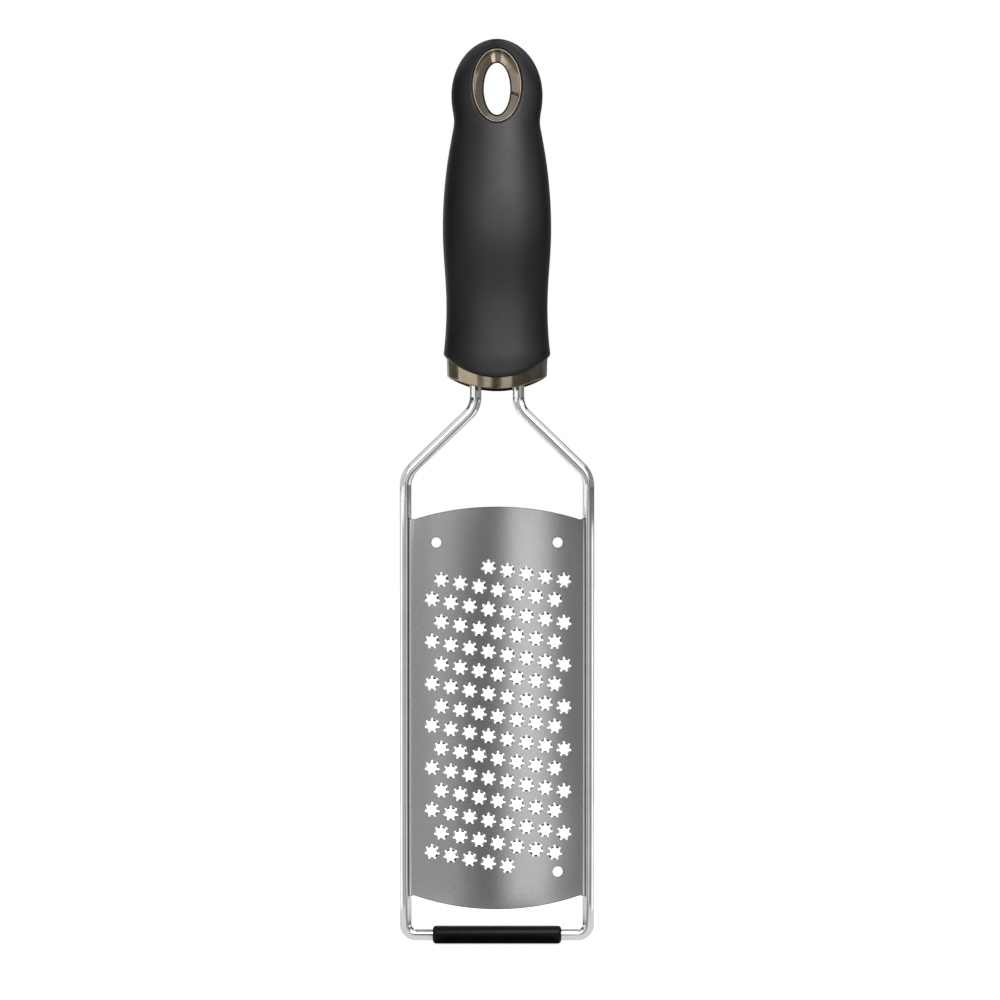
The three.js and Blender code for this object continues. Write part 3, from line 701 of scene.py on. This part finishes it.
def collar_columns(half_width):
    """Places across the collar, each with the half opening of the tang hole there, or None."""
    half = []
    for turn in spread(COLLAR_SIDE_STEPS, pi / 2, 0)[:-1]:
        half.append((lerp(TANG_X + TANG_HOLE_RADIUS, half_width, sin(turn)), None))
    for turn in spread(TANG_HOLE_STEPS, 0, pi):
        half.append((TANG_X + TANG_HOLE_RADIUS * cos(turn), TANG_HOLE_RADIUS * sin(turn)))
    middle = spread(COLLAR_MIDDLE_STEPS, TANG_X - TANG_HOLE_RADIUS, TANG_HOLE_RADIUS - TANG_X)[1:-1]
    mirrored = [(-x, opening) for x, opening in reversed(half)]
    return half + [(x, None) for x in middle] + mirrored


def collar_loop(inset, height):
    """A closed loop round the collar, at a height that depends on the place across it."""
    front = []
    back = []
    half_width, half_depth = COLLAR[0] - inset, COLLAR[1] - inset
    for x, _ in collar_columns(half_width):
        y = oval_depth(x, half_width, half_depth)
        z = height(x)
        lean = COLLAR_SLOPE * (COLLAR_SHOULDER - z)
        x *= 1 - lean / half_width
        y *= 1 - lean / half_depth
        front.append((x, -y, z))
        back.append((x, y, z))
    return front + back[1:-1][::-1]


def collar_plate(skin, loop, half_width, height):
    """Fill a loop across the collar except for the tang holes, and return the rows at the holes' edges."""
    columns = collar_columns(half_width)
    count = len(columns)
    front = loop[:count]
    back = [loop[0]] + loop[count:][::-1] + [loop[count - 1]]
    hole_front = {}
    hole_back = {}
    for i, (x, opening) in enumerate(columns):
        if opening is not None:
            hole_front[i], hole_back[i] = skin.row([(x, -opening, height(x)), (x, opening, height(x))])
    for i in range(count - 1):
        j = i + 1
        if i in hole_front and j in hole_front:
            skin.faces.append((front[i], front[j], hole_front[j], hole_front[i]))
            skin.faces.append((hole_back[i], hole_back[j], back[j], back[i]))
        else:  # the first and last columns are single points
            skin.faces.append(tuple(dict.fromkeys((front[i], front[j], back[j], back[i]))))
    return hole_front, hole_back


def make_collar(material):
    skin = Skin()

    def top(x):
        return grip_edge(x) - SEAT_GAP + COLLAR_TUCK

    def above_end(rise):
        return lambda x: COLLAR_END + COLLAR_TRIM + arc_rise(COLLAR_EDGE_RADIUS, x) + rise

    bottom, plate, floor = [above_end(rise) for rise in (0, COLLAR_RECESS, COLLAR_WALL)]
    loops = [collar_loop(COLLAR_WALL, floor), collar_loop(COLLAR_WALL, top)]
    wall_end = above_end(COLLAR_ROUND + COLLAR_HOLD)
    for share in spread(COLLAR_ROWS):
        loops.append(collar_loop(0, lambda x: lerp(top(x), wall_end(x), share)))
    loops.append(collar_loop(0, above_end(COLLAR_ROUND)))
    rows = [skin.row(loop) for loop in loops]
    # painted shade on the collar's rounded lower edge, its land and its end plate, growing to full at the
    # bottom
    for inward, rise in ROUNDING[1:]:
        loop = collar_loop(COLLAR_ROUND * inward, above_end(COLLAR_ROUND * rise))
        rows.append(skin.row(loop, 1 - rise))
    land = COLLAR_ROUND + COLLAR_LAND
    rows.append(skin.row(collar_loop(land, bottom), 1.0))
    rows.append(skin.row(collar_loop(land + COLLAR_RECESS, plate), 1.0))
    skin.strips(rows, closed=True)
    floor_holes = collar_plate(skin, rows[0], COLLAR[0] - COLLAR_WALL, floor)
    bottom_holes = collar_plate(skin, rows[-1], COLLAR[0] - land - COLLAR_RECESS, plate)
    for upper, lower in zip(floor_holes, bottom_holes):
        for i in upper:
            if i + 1 in upper:
                skin.faces.append((upper[i], upper[i + 1], lower[i + 1], lower[i]))
    add_piece("end_collar_trim", skin, material, ["end_collar"])


# Wire frame: one bent wire

WIRE_SIDES = 36
BEND_STEPS = 24
TANG_CHAMFER = 0.4


def right_of(way):
    return Vector((way.y, -way.x))


def bent_path(corners):
    """Points and tangents along a path of (x, z, bend radius) corners."""
    path = []
    for i, (x, z, radius) in enumerate(corners):
        here = Vector((x, z))
        if radius == 0:
            other = Vector(corners[i + 1 if i == 0 else i - 1][:2])
            tangent = (other - here if i == 0 else here - other).normalized()
            path.append((here, tangent))
            continue
        into = (here - Vector(corners[i - 1][:2])).normalized()
        out = (Vector(corners[i + 1][:2]) - here).normalized()
        turn = into.angle_signed(out)
        reach = radius * tan(abs(turn) / 2)
        lever = copysign(radius, turn)
        centre = here - into * reach + right_of(into) * lever
        for angle in spread(BEND_STEPS + 1, 0, turn):
            tangent = into * cos(angle) + right_of(into) * sin(angle)
            path.append((centre - right_of(tangent) * lever, tangent))
    return path


def wire_corners():
    """Corners of the bent wire as (x, z, bend radius), from the left tang's end to the right one's."""
    shoulder_turn = atan2(ROD_X - TANG_X, SHOULDER_DROP)
    tang_corner = COLLAR_END - TANG_STRAIGHT - SHOULDER_BEND * tan(shoulder_turn / 2)
    left = [
        (-TANG_X, TANG_TOP, 0),
        (-TANG_X, tang_corner, SHOULDER_BEND),
        (-ROD_X, tang_corner - SHOULDER_DROP, SHOULDER_BEND),
        (-ROD_X, CROSSBAR_Z, CORNER_BEND),
    ]
    return left + [(-x, z, radius) for x, z, radius in reversed(left)]


def wire_ring(centre, tangent, radius):
    side = right_of(tangent)
    ring = []
    for angle in turns(WIRE_SIDES):
        place = centre + side * radius * cos(angle)
        ring.append((place.x, radius * sin(angle), place.y))
    return ring


def wire_row(skin, centre, tangent, radius, along):
    """A ring of the bent wire, whose points keep their places on the straight wire."""
    row = skin.row(wire_ring(centre, tangent, radius))
    skin.straight.update(zip(row, wire_ring(Vector((0, along)), Vector((0, 1)), radius)))
    return row


def make_wire():
    skin = Skin()
    path = bent_path(wire_corners())
    lengths = [0.0]
    for (centre, _), (other, _) in zip(path, path[1:]):
        lengths.append(lengths[-1] + (other - centre).length)
    rings = []
    for (centre, tangent), along in list(zip(path, lengths))[1:-1]:
        rings.append(wire_row(skin, centre, tangent, WIRE_RADIUS, along))
    for end, inward in ((0, 1), (-1, -1)):
        centre, tangent = path[end]
        along = lengths[end]
        inset = inward * TANG_CHAMFER
        shoulder = wire_row(skin, centre + tangent * inset, tangent, WIRE_RADIUS, along + inset)
        tip = wire_row(skin, centre, tangent, WIRE_RADIUS - TANG_CHAMFER, along)
        skin.faces.append(tuple(tip))
        rings = [tip, shoulder] + rings if end == 0 else rings + [shoulder, tip]
    skin.strips(rings, closed=True)
    add_piece("wire_frame_bent", skin, bright_wire(), ["wire_frame"])


# Foot sleeve

FOOT_SIDES = 56
FOOT_BORE = WIRE_RADIUS + FOOT_GAP


def make_foot():
    skin = Skin()
    profile = [(-FOOT_HALF, FOOT_BORE)]
    for inward, rise in ROUNDING:
        profile.append((FOOT_ROUND * inward - FOOT_HALF, FOOT_RADIUS - FOOT_ROUND * rise))
    profile += [(-x, radius) for x, radius in reversed(profile)]
    rows = []
    for x, radius in profile:
        rows.append(skin.row([
            (x, radius * cos(angle), CROSSBAR_Z + radius * sin(angle))
            for angle in turns(FOOT_SIDES)]))
    skin.strips(rows + rows[:1], closed=True)
    add_piece("foot_sleeve_rubber", skin, foot_rubber(), ["foot_sleeve"])


# Blade: the flat sheet is cut, its teeth are raised, and it is formed to its crown and lips

BLADE_END = CROSSBAR_Z + FOOT_CLEARANCE
BLADE_LENGTH = BLADE_TOP - BLADE_END
BLADE_CENTRE = (BLADE_TOP + BLADE_END) / 2
CROWN_TURN = asin(CREASE_PLACE[0] / CROWN_RADIUS)
APEX_Y = CREASE_PLACE[1] - CROWN_RADIUS * (1 - cos(CROWN_TURN))
CROWN_LENGTH = CROWN_RADIUS * CROWN_TURN
LIP_PARTS = [  # length and bend radius of each part of the lip, outwards
    (LIP_BEND * (LIP_TILT - CROWN_TURN), LIP_BEND),
    (LIP_FLAT, inf),
    (CURL_BEND * (CURL_TILT - LIP_TILT), CURL_BEND),
]
SHEET_HALF_WIDTH = CROWN_LENGTH + sum(length for length, _ in LIP_PARTS)
CURL_SHADE_START = SHEET_HALF_WIDTH - CURL_SHADE_SHARE * LIP_PARTS[-1][0]  # the curl has painted shade from here out, where it tucks against the rod
END_ARC_RADIUS = arc_radius(CROWN_LENGTH, END_ARC_RISE)
FIELD_HALF_HEIGHT = (BLADE_LENGTH - FIELD_TOP_INSET - FIELD_BOTTOM_INSET) / 2
FIELD_CENTRE = BLADE_TOP - FIELD_TOP_INSET - FIELD_HALF_HEIGHT
FIELD_COLUMNS = int((CROWN_LENGTH - FIELD_SIDE_INSET) / COLUMN_PITCH)

FACE_LINES = 33
FACE_ROWS = 43
LIP_STEPS = 5
ROUND_STEPS = 40
ARM_END_STEPS = 7
TIP_THICKNESS = 0.15  # share of the sheet's thickness
TOOTH_ROWS = [  # share of the way in, of the lift and of the sheet's thickness, and painted shade
    (1 / 3, 0.2, 0.9, 0.25),
    (2 / 3, 0.55, 0.65, 0.7),
    (1, 1, TIP_THICKNESS, 1),
]
TOOTH_PAINTED_SHADE = (1.5, 0.1, 0.45, 0.5, 0.6, 1.6, 3.0)  # strength of the painted shade on each tooth, turning left; the teeth that face up and to the right get the most
HOLE_MARGIN = 0.5  # kept clear round a hole
CROWN_FACE = radians(8)  # faces that turn more than this from the crown aren't part of it
CUT_EPSILON = 1e-6  # points of the flat sheet closer than this are one


def lip_place(along):
    """Place and turn of the sheet at a length past the crease."""
    x, y = CREASE_PLACE
    turn = CROWN_TURN
    for length, radius in LIP_PARTS:
        step = min(along, length)
        along -= step
        if radius == inf:
            x += step * cos(turn)
            y += step * sin(turn)
        else:
            end = turn + step / radius
            x += radius * (sin(end) - sin(turn))
            y += radius * (cos(turn) - cos(end))
            turn = end
    return x, y, turn


def formed(u, v, lift):
    """A point of the flat sheet after forming: u across it, v along it, lift towards the front."""
    across = abs(u)
    if across > CROWN_LENGTH:
        x, y, turn = lip_place(across - CROWN_LENGTH)
    else:
        turn = across / CROWN_RADIUS
        x = CROWN_RADIUS * sin(turn)
        y = APEX_Y + CROWN_RADIUS * (1 - cos(turn))
    return copysign(x + lift * sin(turn), u), y - lift * cos(turn), v


def sheet_half_length(u):
    """Half the sheet's length at a distance from its middle: arcs on the face, ears on the lips."""
    on_face = BLADE_LENGTH / 2 - arc_rise(END_ARC_RADIUS, min(abs(u), CROWN_LENGTH))
    on_lip = max(abs(u) - CROWN_LENGTH, 0) / (SHEET_HALF_WIDTH - CROWN_LENGTH)
    return on_face + EAR * on_lip


def star_places():
    """Middles of the star holes: sloping rows, every second column of each."""
    places = []
    rows = ceil((FIELD_HALF_HEIGHT + ROW_SLOPE * CROWN_LENGTH) / ROW_PITCH)
    for row in range(-rows, rows + 1):
        for column in range(-FIELD_COLUMNS, FIELD_COLUMNS + 1):
            u = column * COLUMN_PITCH
            fall = ROW_SLOPE * u + ROW_PITCH * row
            if (row + column) % 2 == 0 and abs(fall) <= FIELD_HALF_HEIGHT:
                places.append((u + FIELD_SHIFT, FIELD_CENTRE - fall))
    return places


def round_places():
    offset = CROWN_LENGTH - ROUND_SIDE_INSET
    top = BLADE_TOP - ROUND_TOP_INSET
    return [(-offset, top), (offset, top), (offset, BLADE_END + ROUND_BOTTOM_INSET)]


class Sheet:
    """The flat sheet: points with lift, thickness and painted shade, and the edges that cutting has to keep.
    """

    def __init__(self):
        self.points = []
        self.lifts = []
        self.marks = []
        self.edges = []
        self.owners = []

    def add(self, u, v, lift=0.0, thickness=1.0, mark=0.0, owner=None):
        self.points.append(Vector((u, v)))
        self.lifts.append((lift, thickness))
        self.marks.append(mark)
        self.owners.append(owner)
        return len(self.points) - 1

    def chain(self, indices, closed=False):
        self.edges.extend(zip(indices, indices[1:]))
        if closed:
            self.edges.append((indices[-1], indices[0]))


def add_star(sheet, u, v, owner):
    """Arms with rounded ends, and a raised blunt tooth between each two with painted shade by the way it
    faces; returns the loop round the hole.
    """

    def add(angle, reach, offset, *form):
        cosine, sine = cos(angle), sin(angle)
        across = reach * cosine - offset * sine
        along = reach * sine + offset * cosine
        return sheet.add(u + across, v + along, *form, owner=owner)

    half = ARM_WIDTH / 2
    tooth_reach = sqrt(TOOTH_RADIUS ** 2 - half ** 2)
    pitch = 2 * pi / STAR_ARMS
    loop = []
    corners = []
    for arm in range(STAR_ARMS):
        angle = pi / 2 + pitch * arm
        sides = []
        for offset, tooth in ((-half, arm - 1), (half, arm)):
            side = []
            for share, rise, thickness, mark in TOOTH_ROWS:
                reach = lerp(ARM_REACH, tooth_reach, share)
                # painted shade on the tooth, strongest on teeth that face up and to the right
                shade = min(TOOTH_PAINTED_SHADE[tooth] * mark, 1)
                side.append(add(angle, reach, offset, rise * TOOTH_HEIGHT, thickness, shade))
            sides.append(side)
        end = [add(angle, ARM_REACH + ARM_END * (1 - across ** ARM_BLUNTNESS), across * half)
               for across in spread(ARM_END_STEPS, -1, 1)]
        tip = add(angle + pitch / 2, TOOTH_RADIUS, 0, TOOTH_HEIGHT, TIP_THICKNESS, min(TOOTH_PAINTED_SHADE[arm], 1))
        loop += sides[0][::-1] + end + sides[1] + [tip]
        corners.append((end[0], end[-1]))
    for arm in range(STAR_ARMS):
        sheet.edges.append((corners[arm][1], corners[(arm + 1) % STAR_ARMS][0]))
    sheet.chain(loop, closed=True)
    return loop


def add_round(sheet, u, v, owner):
    """A round hole with painted shade on its edge, and the band over which that shade fades; returns the loop
    round the hole.
    """
    loop = []
    band = ROUND_RADIUS + EDGE_BAND
    for angle in turns(ROUND_STEPS):
        cosine, sine = cos(angle), sin(angle)
        loop.append(sheet.add(u + ROUND_RADIUS * cosine, v + ROUND_RADIUS * sine, mark=1, owner=owner))
        sheet.add(u + band * cosine, v + band * sine)
    sheet.chain(loop, closed=True)
    return loop


def add_face_points(sheet, holes):
    """Lines of points up the face and the lips, which keep the formed sheet smooth."""
    face = spread(FACE_LINES, -CROWN_LENGTH, CROWN_LENGTH)
    bend = []
    done = CROWN_LENGTH
    for length, radius in LIP_PARTS:
        steps = 2 if radius == inf else LIP_STEPS
        bend += spread(steps, done, done + length)[1:]
        done += length
    lines = [-u for u in reversed(bend)] + face + bend
    columns = []
    for u in lines:
        half = sheet_half_length(u)
        on_lip = abs(u) >= CROWN_LENGTH - CUT_EPSILON
        column = []
        band = 1 - EDGE_BAND / half
        for share in [-1, -band] + spread(FACE_ROWS, -1, 1)[1:-1] + [band, 1]:
            v = BLADE_CENTRE + half * share
            place = Vector((u, v))
            on_edge = abs(share) == 1
            clear = all((place - centre).length > reach + HOLE_MARGIN for centre, reach in holes)
            if on_edge or on_lip or clear:
                # painted shade on the sheet's cut ends and on the outer part of the lips' curls
                mark = 1 if on_edge or abs(u) > CURL_SHADE_START else 0
                column.append(sheet.add(u, v, mark=mark, owner="edge" if on_edge else None))
        if on_lip:
            sheet.chain(column)
        columns.append(column)
    sheet.chain([column[0] for column in columns])
    sheet.chain([column[-1] for column in columns])


def inside(place, loop):
    """Whether a flat point lies inside a loop of points."""
    crossings = 0
    for start, end in zip(loop, loop[1:] + loop[:1]):
        if (start.y > place.y) != (end.y > place.y):
            across = start.x + (place.y - start.y) / (end.y - start.y) * (end.x - start.x)
            crossings += across > place.x
    return crossings % 2 == 1


def cut_sheet():
    """The sheet's points and the triangles that are left once the holes are cut."""
    sheet = Sheet()
    loops = {}
    holes = []
    for u, v in star_places():
        owner = len(loops)
        loops[owner] = add_star(sheet, u, v, owner)
        holes.append((Vector((u, v)), ARM_REACH + ARM_END))
    for u, v in round_places():
        owner = len(loops)
        loops[owner] = add_round(sheet, u, v, owner)
        holes.append((Vector((u, v)), ROUND_RADIUS))
    add_face_points(sheet, holes)
    outlines = {owner: [sheet.points[i] for i in loop] for owner, loop in loops.items()}
    places, _, faces, sources, _, _ = geometry.delaunay_2d_cdt(sheet.points, sheet.edges, [], 0, CUT_EPSILON)
    origin = [source[0] for source in sources]
    triangles = []
    for face in faces:
        corners = [origin[i] for i in face]
        owners = {sheet.owners[i] for i in corners}
        middle = sum((sheet.points[i] for i in corners), Vector((0, 0))) / 3
        if len(owners) == 1:
            owner = owners.pop()
            if owner == "edge" and abs(middle.y - BLADE_CENTRE) > sheet_half_length(middle.x):
                continue
            if owner in outlines and inside(middle, outlines[owner]):
                continue
        triangles.append(corners)
    return sheet, triangles


def smooth_crown(mesh):
    """Give the faces of the crown its exact normals, and leave the other faces theirs."""
    normals = [(0, 0, 0)] * len(mesh.loops)
    for face in mesh.polygons:
        for corner in face.loop_indices:
            x = mesh.vertices[mesh.loops[corner].vertex_index].co.x / MM
            if abs(x) < CREASE_PLACE[0]:
                turn = asin(x / CROWN_RADIUS)
                crown = Vector((sin(turn), -cos(turn), 0))
                facing = face.normal.dot(crown)
                if abs(facing) > cos(CROWN_FACE):
                    normals[corner] = crown * copysign(1, facing)
    mesh.normals_split_custom_set(normals)


def make_blade():
    sheet, triangles = cut_sheet()
    skin = Skin()
    fronts = []
    backs = []
    for (u, v), (lift, thickness) in zip(sheet.points, sheet.lifts):
        half = thickness * SHEET / 2
        fronts.append(formed(u, v, lift + half))
        backs.append(formed(u, v, lift - half))
    front = skin.row(fronts)
    back = skin.row(backs)
    for side in (front, back):
        skin.marks.update(zip(side, sheet.marks))
    open_edges = set()
    for a, b, c in triangles:
        skin.faces.append((front[a], front[b], front[c]))
        skin.faces.append((back[c], back[b], back[a]))
        for edge in ((a, b), (b, c), (c, a)):
            if edge[::-1] in open_edges:
                open_edges.remove(edge[::-1])
            else:
                open_edges.add(edge)
    for a, b in sorted(open_edges):
        skin.faces.append((front[b], front[a], back[a], back[b]))
    piece = add_piece("blade_sheet", skin, blade_steel(), ["blade"])
    smooth_crown(piece.data)


# Stage, in metres

FLOOR_DROP = 0.0004  # from the object down to the floor
FLOOR_HALF = 4.0
FLOOR_COLOUR = (0.9, 0.9, 0.9, 1)
FLOOR_ROUGHNESS = 0.9
FLOOR_GLOW = 0.8  # brings the floor up to white where it is the background
WHITE = (1, 1, 1, 1)
BACKGROUND = 1.0
AMBIENT = 0.45
CAMERA_PLACE = (0.00105, -1.0, -0.1439)
CAMERA_LENS = 102.86
LAMP_PLACE = (0.12, -0.31, 0.17)
LAMP_TARGET = (0, 0, -0.1)
LAMP_SIZE = 0.22
LAMP_POWER = 0.6

# Studio cards, which show only in reflections. Angles are degrees round the object, and 0 is the front.
CARD_DISTANCE = 0.45
CARD_STEP = 3
CARD_MIDDLE = 0.0005  # radius left open where cards meet at a point
FLOOR_RINGS = {"under": 0.0222, "bar": 0.04, "near": 0.112, "floor": CARD_DISTANCE}  # outer radii
WALL_TOPS = {  # height where each tier of the wall ends, from the floor up
    "low": -0.1535, "neck": -0.141, "shoulder": -0.135, "collar": -0.102, "tang": -0.079, "flare": -0.035,
    "high": 0.03, "ring": 0.1, "crown": 0.22, "upper": 0.45,
}
BEND_DISTANCE = 0.05  # cards beside the wire's lower bends
BEND_LOW = -0.139
BEND_HIGH = -0.117
COLLAR_TINT = (0.75, 1.0, 1.4, 1)  # cool light on the collar's sides
BLADE_PARTS = [
    (-17, 0.65), (-13.5, 0.55), (-10.5, 0.41), (-7.5, 0.29), (-2, 0.22), (1, 0.31), (3.5, 0.5), (6, 0.86),
    (12.5, 1.08), (15, 1.0), (18, 0.74), (21, 0.44),
]


def sectors(start, *parts):
    """Cards side by side from a start angle. Each part is its end angle and its tone, or None for a gap."""
    cards = []
    for end, tone in parts:
        if tone is not None:
            cards.append((start, end, tone))
        start = end
    return cards


def key_tones(strength, side_share):
    """The bright strip in front, softened to both sides as far as the share says."""
    side = strength * side_share
    return sectors(
        -135, (-84, 0.12), (-64, 0.1 * side), (-46, 0.22 * side), (-30, 0.42 * side), (-14, 0.7 * strength),
        (34, strength), (60, 0.68 * side), (88, 0.34 * side), (135, 0.12), (152, 0.22), (165, 0.3),
        (195, 2.4), (208, 0.3), (225, 0.55))


CARD_TONES = {
    "under": sectors(-180, (180, 0.12)),
    "bar": sectors(-125, (-55, 0.85), (55, 0.12), (125, 0.85), (235, 0.12)),
    "near": sectors(-150, (-20, 0.85), (20, 0.35), (150, 0.85), (210, 0.1)),
    "floor": sectors(
        -128, (-112, 0.45), (-66, 1.35), (-13, 0.52), (-8, 0.34), (0, 0.24), (3, 0.45), (6, 0.7), (19, 0.95),
        (23, 0.65), (27, 0.42), (66, 0.33), (112, 1.35), (128, 0.45), (146, 0.22), (165, 1.9), (209, 0.43),
        (232, 1.6)),
    "low": sectors(
        -135, (-112, 0.35), (-66, 1.35), (-22, 0.5), *BLADE_PARTS, (66, 0.3), (112, 1.35), (135, 0.3),
        (165, 0.22), (195, 0.7), (225, 1.2)),
    "neck": sectors(
        -135, (-106, 0.6), (-34, 1.3), (-22, 0.5), *BLADE_PARTS, (135, 0.2), (165, 0.22), (225, 0.9)),
    "shoulder": sectors(
        -135, (-106, 0.6), (-14, 1.3), (19, 0.08), (62, 0.26), (165, 0.22), (195, 1.1), (225, 0.8)),
    "bend": sectors(-150, (-64, 0.75), (64, None), (150, 0.32)),
    "collar": sectors(
        -124, (-76, 0.1), (-26, 1.15), (-15, 0.12), (-5, 1.15), (3.5, 0.05), (17, 1.05), (59, 0.07),
        (90, 0.12), (124, 0.08), (135, None), (165, 0.2), (195, 0.7), (214, 0.2), (225, 0.7)),
    "collar_sides": sectors(-135, (-124, 0.16), (124, None), (135, 0.18)),
    "tang": sectors(
        -135, (-84, 0.25), (-14, 1.3), (19, 0.12), (62, 0.45), (135, 0.25), (165, 0.22), (195, 1.1),
        (225, 0.8)),
    "flare": key_tones(1.8, 0.1),
    "high": key_tones(4.4, 0.6),
    "ring": key_tones(5.0, 1.15),
    "crown": sectors(
        -128, (-62, 0.15), (-20, 0.9), (-9, 0.8), (18, 5.0), (30, 2.6), (62, 0.9), (128, 0.15), (165, 0.22),
        (195, 0.35), (232, 0.4)),
    "upper": sectors(
        -128, (-20, 0.9), (-9, 0.8), (18, 5.0), (30, 2.6), (128, 0.9), (165, 0.22), (195, 0.35), (232, 0.4)),
    "lid": sectors(-160, (-20, 0.9), (20, 0.1), (160, 1.3), (200, 0.15)),
}


def background_share(tree):
    """1 for rays that show the background: camera, glossy and transmission rays."""
    path = tree.nodes.new("ShaderNodeLightPath")
    shown = path.outputs["Is Camera Ray"]
    for name in ("Is Glossy Ray", "Is Transmission Ray"):
        either = tree.nodes.new("ShaderNodeMath")
        either.operation = "MAXIMUM"
        tree.links.new(shown, either.inputs[0])
        tree.links.new(path.outputs[name], either.inputs[1])
        shown = either.outputs["Value"]
    return shown


def make_world():
    """A plain white surround that lights the object less than it shows."""
    world = bpy.data.worlds.new("studio")
    world.use_nodes = True
    tree = world.node_tree
    strength = add_node(
        tree, "MapRange", "Result", Value=background_share(tree), To_Min=AMBIENT, To_Max=BACKGROUND)
    set_inputs(tree, tree.nodes["Background"], Color=WHITE, Strength=strength)
    bpy.context.scene.world = world


def stage_object(name, points, faces, material):
    mesh = bpy.data.meshes.new(name)
    mesh.from_pydata(points, [], faces)
    mesh.materials.append(material)
    flat = add_object(name, mesh)
    return flat


def make_floor():
    """A pale matt floor that is white as a background and keeps the object's shadow."""
    material, tree = new_material("pale_floor")
    glow = add_node(tree, "MapRange", "Result", Value=background_share(tree), To_Max=FLOOR_GLOW)
    set_inputs(
        tree, tree.nodes["Principled BSDF"], Base_Color=FLOOR_COLOUR, Roughness=FLOOR_ROUGHNESS,
        Specular_IOR_Level=0.0, Emission_Color=WHITE, Emission_Strength=glow)
    z = cad_box[0].z - FLOOR_DROP
    half = FLOOR_HALF
    corners = [(-half, -half, z), (half, -half, z), (half, half, z), (-half, half, z)]
    stage_object("floor", corners, [(0, 1, 2, 3)], material)


def glow_material(name, tone, tint):
    """Plain glow that reflections find and that isn't sampled as a lamp."""
    material, tree = new_material(name)
    tree.nodes.clear()
    glow = add_node(tree, "Emission", "Emission", Color=tint, Strength=tone)
    set_inputs(tree, tree.nodes.new("ShaderNodeOutputMaterial"), Surface=glow)
    material.cycles.emission_sampling = "NONE"
    return material


def make_card(name, sector, edges, tint):
    """A card on an arc round the object, between two edges that are each a distance and a height."""
    first, last, tone = sector
    steps = max(2, int((last - first) / CARD_STEP) + 1)
    points = []
    for angle in spread(steps, radians(first), radians(last)):
        points += [(reach * sin(angle), -reach * cos(angle), z) for reach, z in edges]
    faces = [(i, i + 2, i + 3, i + 1) for i in range(0, len(points) - 2, 2)]
    card = stage_object(name, points, faces, glow_material(name, tone, tint))
    for ray in ("camera", "diffuse", "shadow", "transmission", "volume_scatter"):
        setattr(card, "visible_" + ray, False)


def make_cards():
    """Tiers of cards, each for the pieces that reflect it."""
    ground = cad_box[0].z - FLOOR_DROP / 2
    tiers = {}
    inner = CARD_MIDDLE
    for tier, outer in FLOOR_RINGS.items():
        tiers[tier] = [(inner, ground), (outer, ground)]
        inner = outer
    bottom = ground
    for tier, top in WALL_TOPS.items():
        tiers[tier] = [(CARD_DISTANCE, bottom), (CARD_DISTANCE, top)]
        bottom = top
    tiers["collar_sides"] = tiers["collar"]
    tiers["bend"] = [(BEND_DISTANCE, BEND_LOW), (BEND_DISTANCE, BEND_HIGH)]
    tiers["lid"] = [(CARD_DISTANCE, bottom), (CARD_MIDDLE, bottom)]
    for tier, edges in tiers.items():
        tint = COLLAR_TINT if tier == "collar_sides" else WHITE
        for number, sector in enumerate(CARD_TONES[tier]):
            make_card(f"card_{tier}_{number}", sector, edges, tint)


def make_lamp():
    """A soft square lamp close in front of the handle, up and to the right."""
    lamp = bpy.data.lights.new("key", "AREA")
    lamp.size = LAMP_SIZE
    lamp.energy = LAMP_POWER
    holder = add_object("key", lamp)
    holder.location = LAMP_PLACE
    way = Vector(LAMP_TARGET) - Vector(LAMP_PLACE)
    holder.rotation_euler = way.to_track_quat("-Z", "Y").to_euler()
    holder.visible_camera = False


def make_camera():
    lens = bpy.data.cameras.new("camera")
    lens.lens = CAMERA_LENS
    camera = add_object("camera", lens)
    camera.location = CAMERA_PLACE
    camera.rotation_euler = (pi / 2, 0, 0)
    bpy.context.scene.camera = camera


make_camera()
make_grip()
trim = bronze()
make_ring("hang_ring_front_trim", -1, "hang_ring_front", trim)
make_ring("hang_ring_back_trim", 1, "hang_ring_back", trim)
make_collar(trim)
make_wire()
make_foot()
make_blade()
core = frame["nodes"]["handle_core"]
core.data.materials.clear()
core.data.materials.append(core_plastic())
make_world()
make_floor()
make_cards()
make_lamp()
bpy.context.scene.view_settings.view_transform = "Standard"
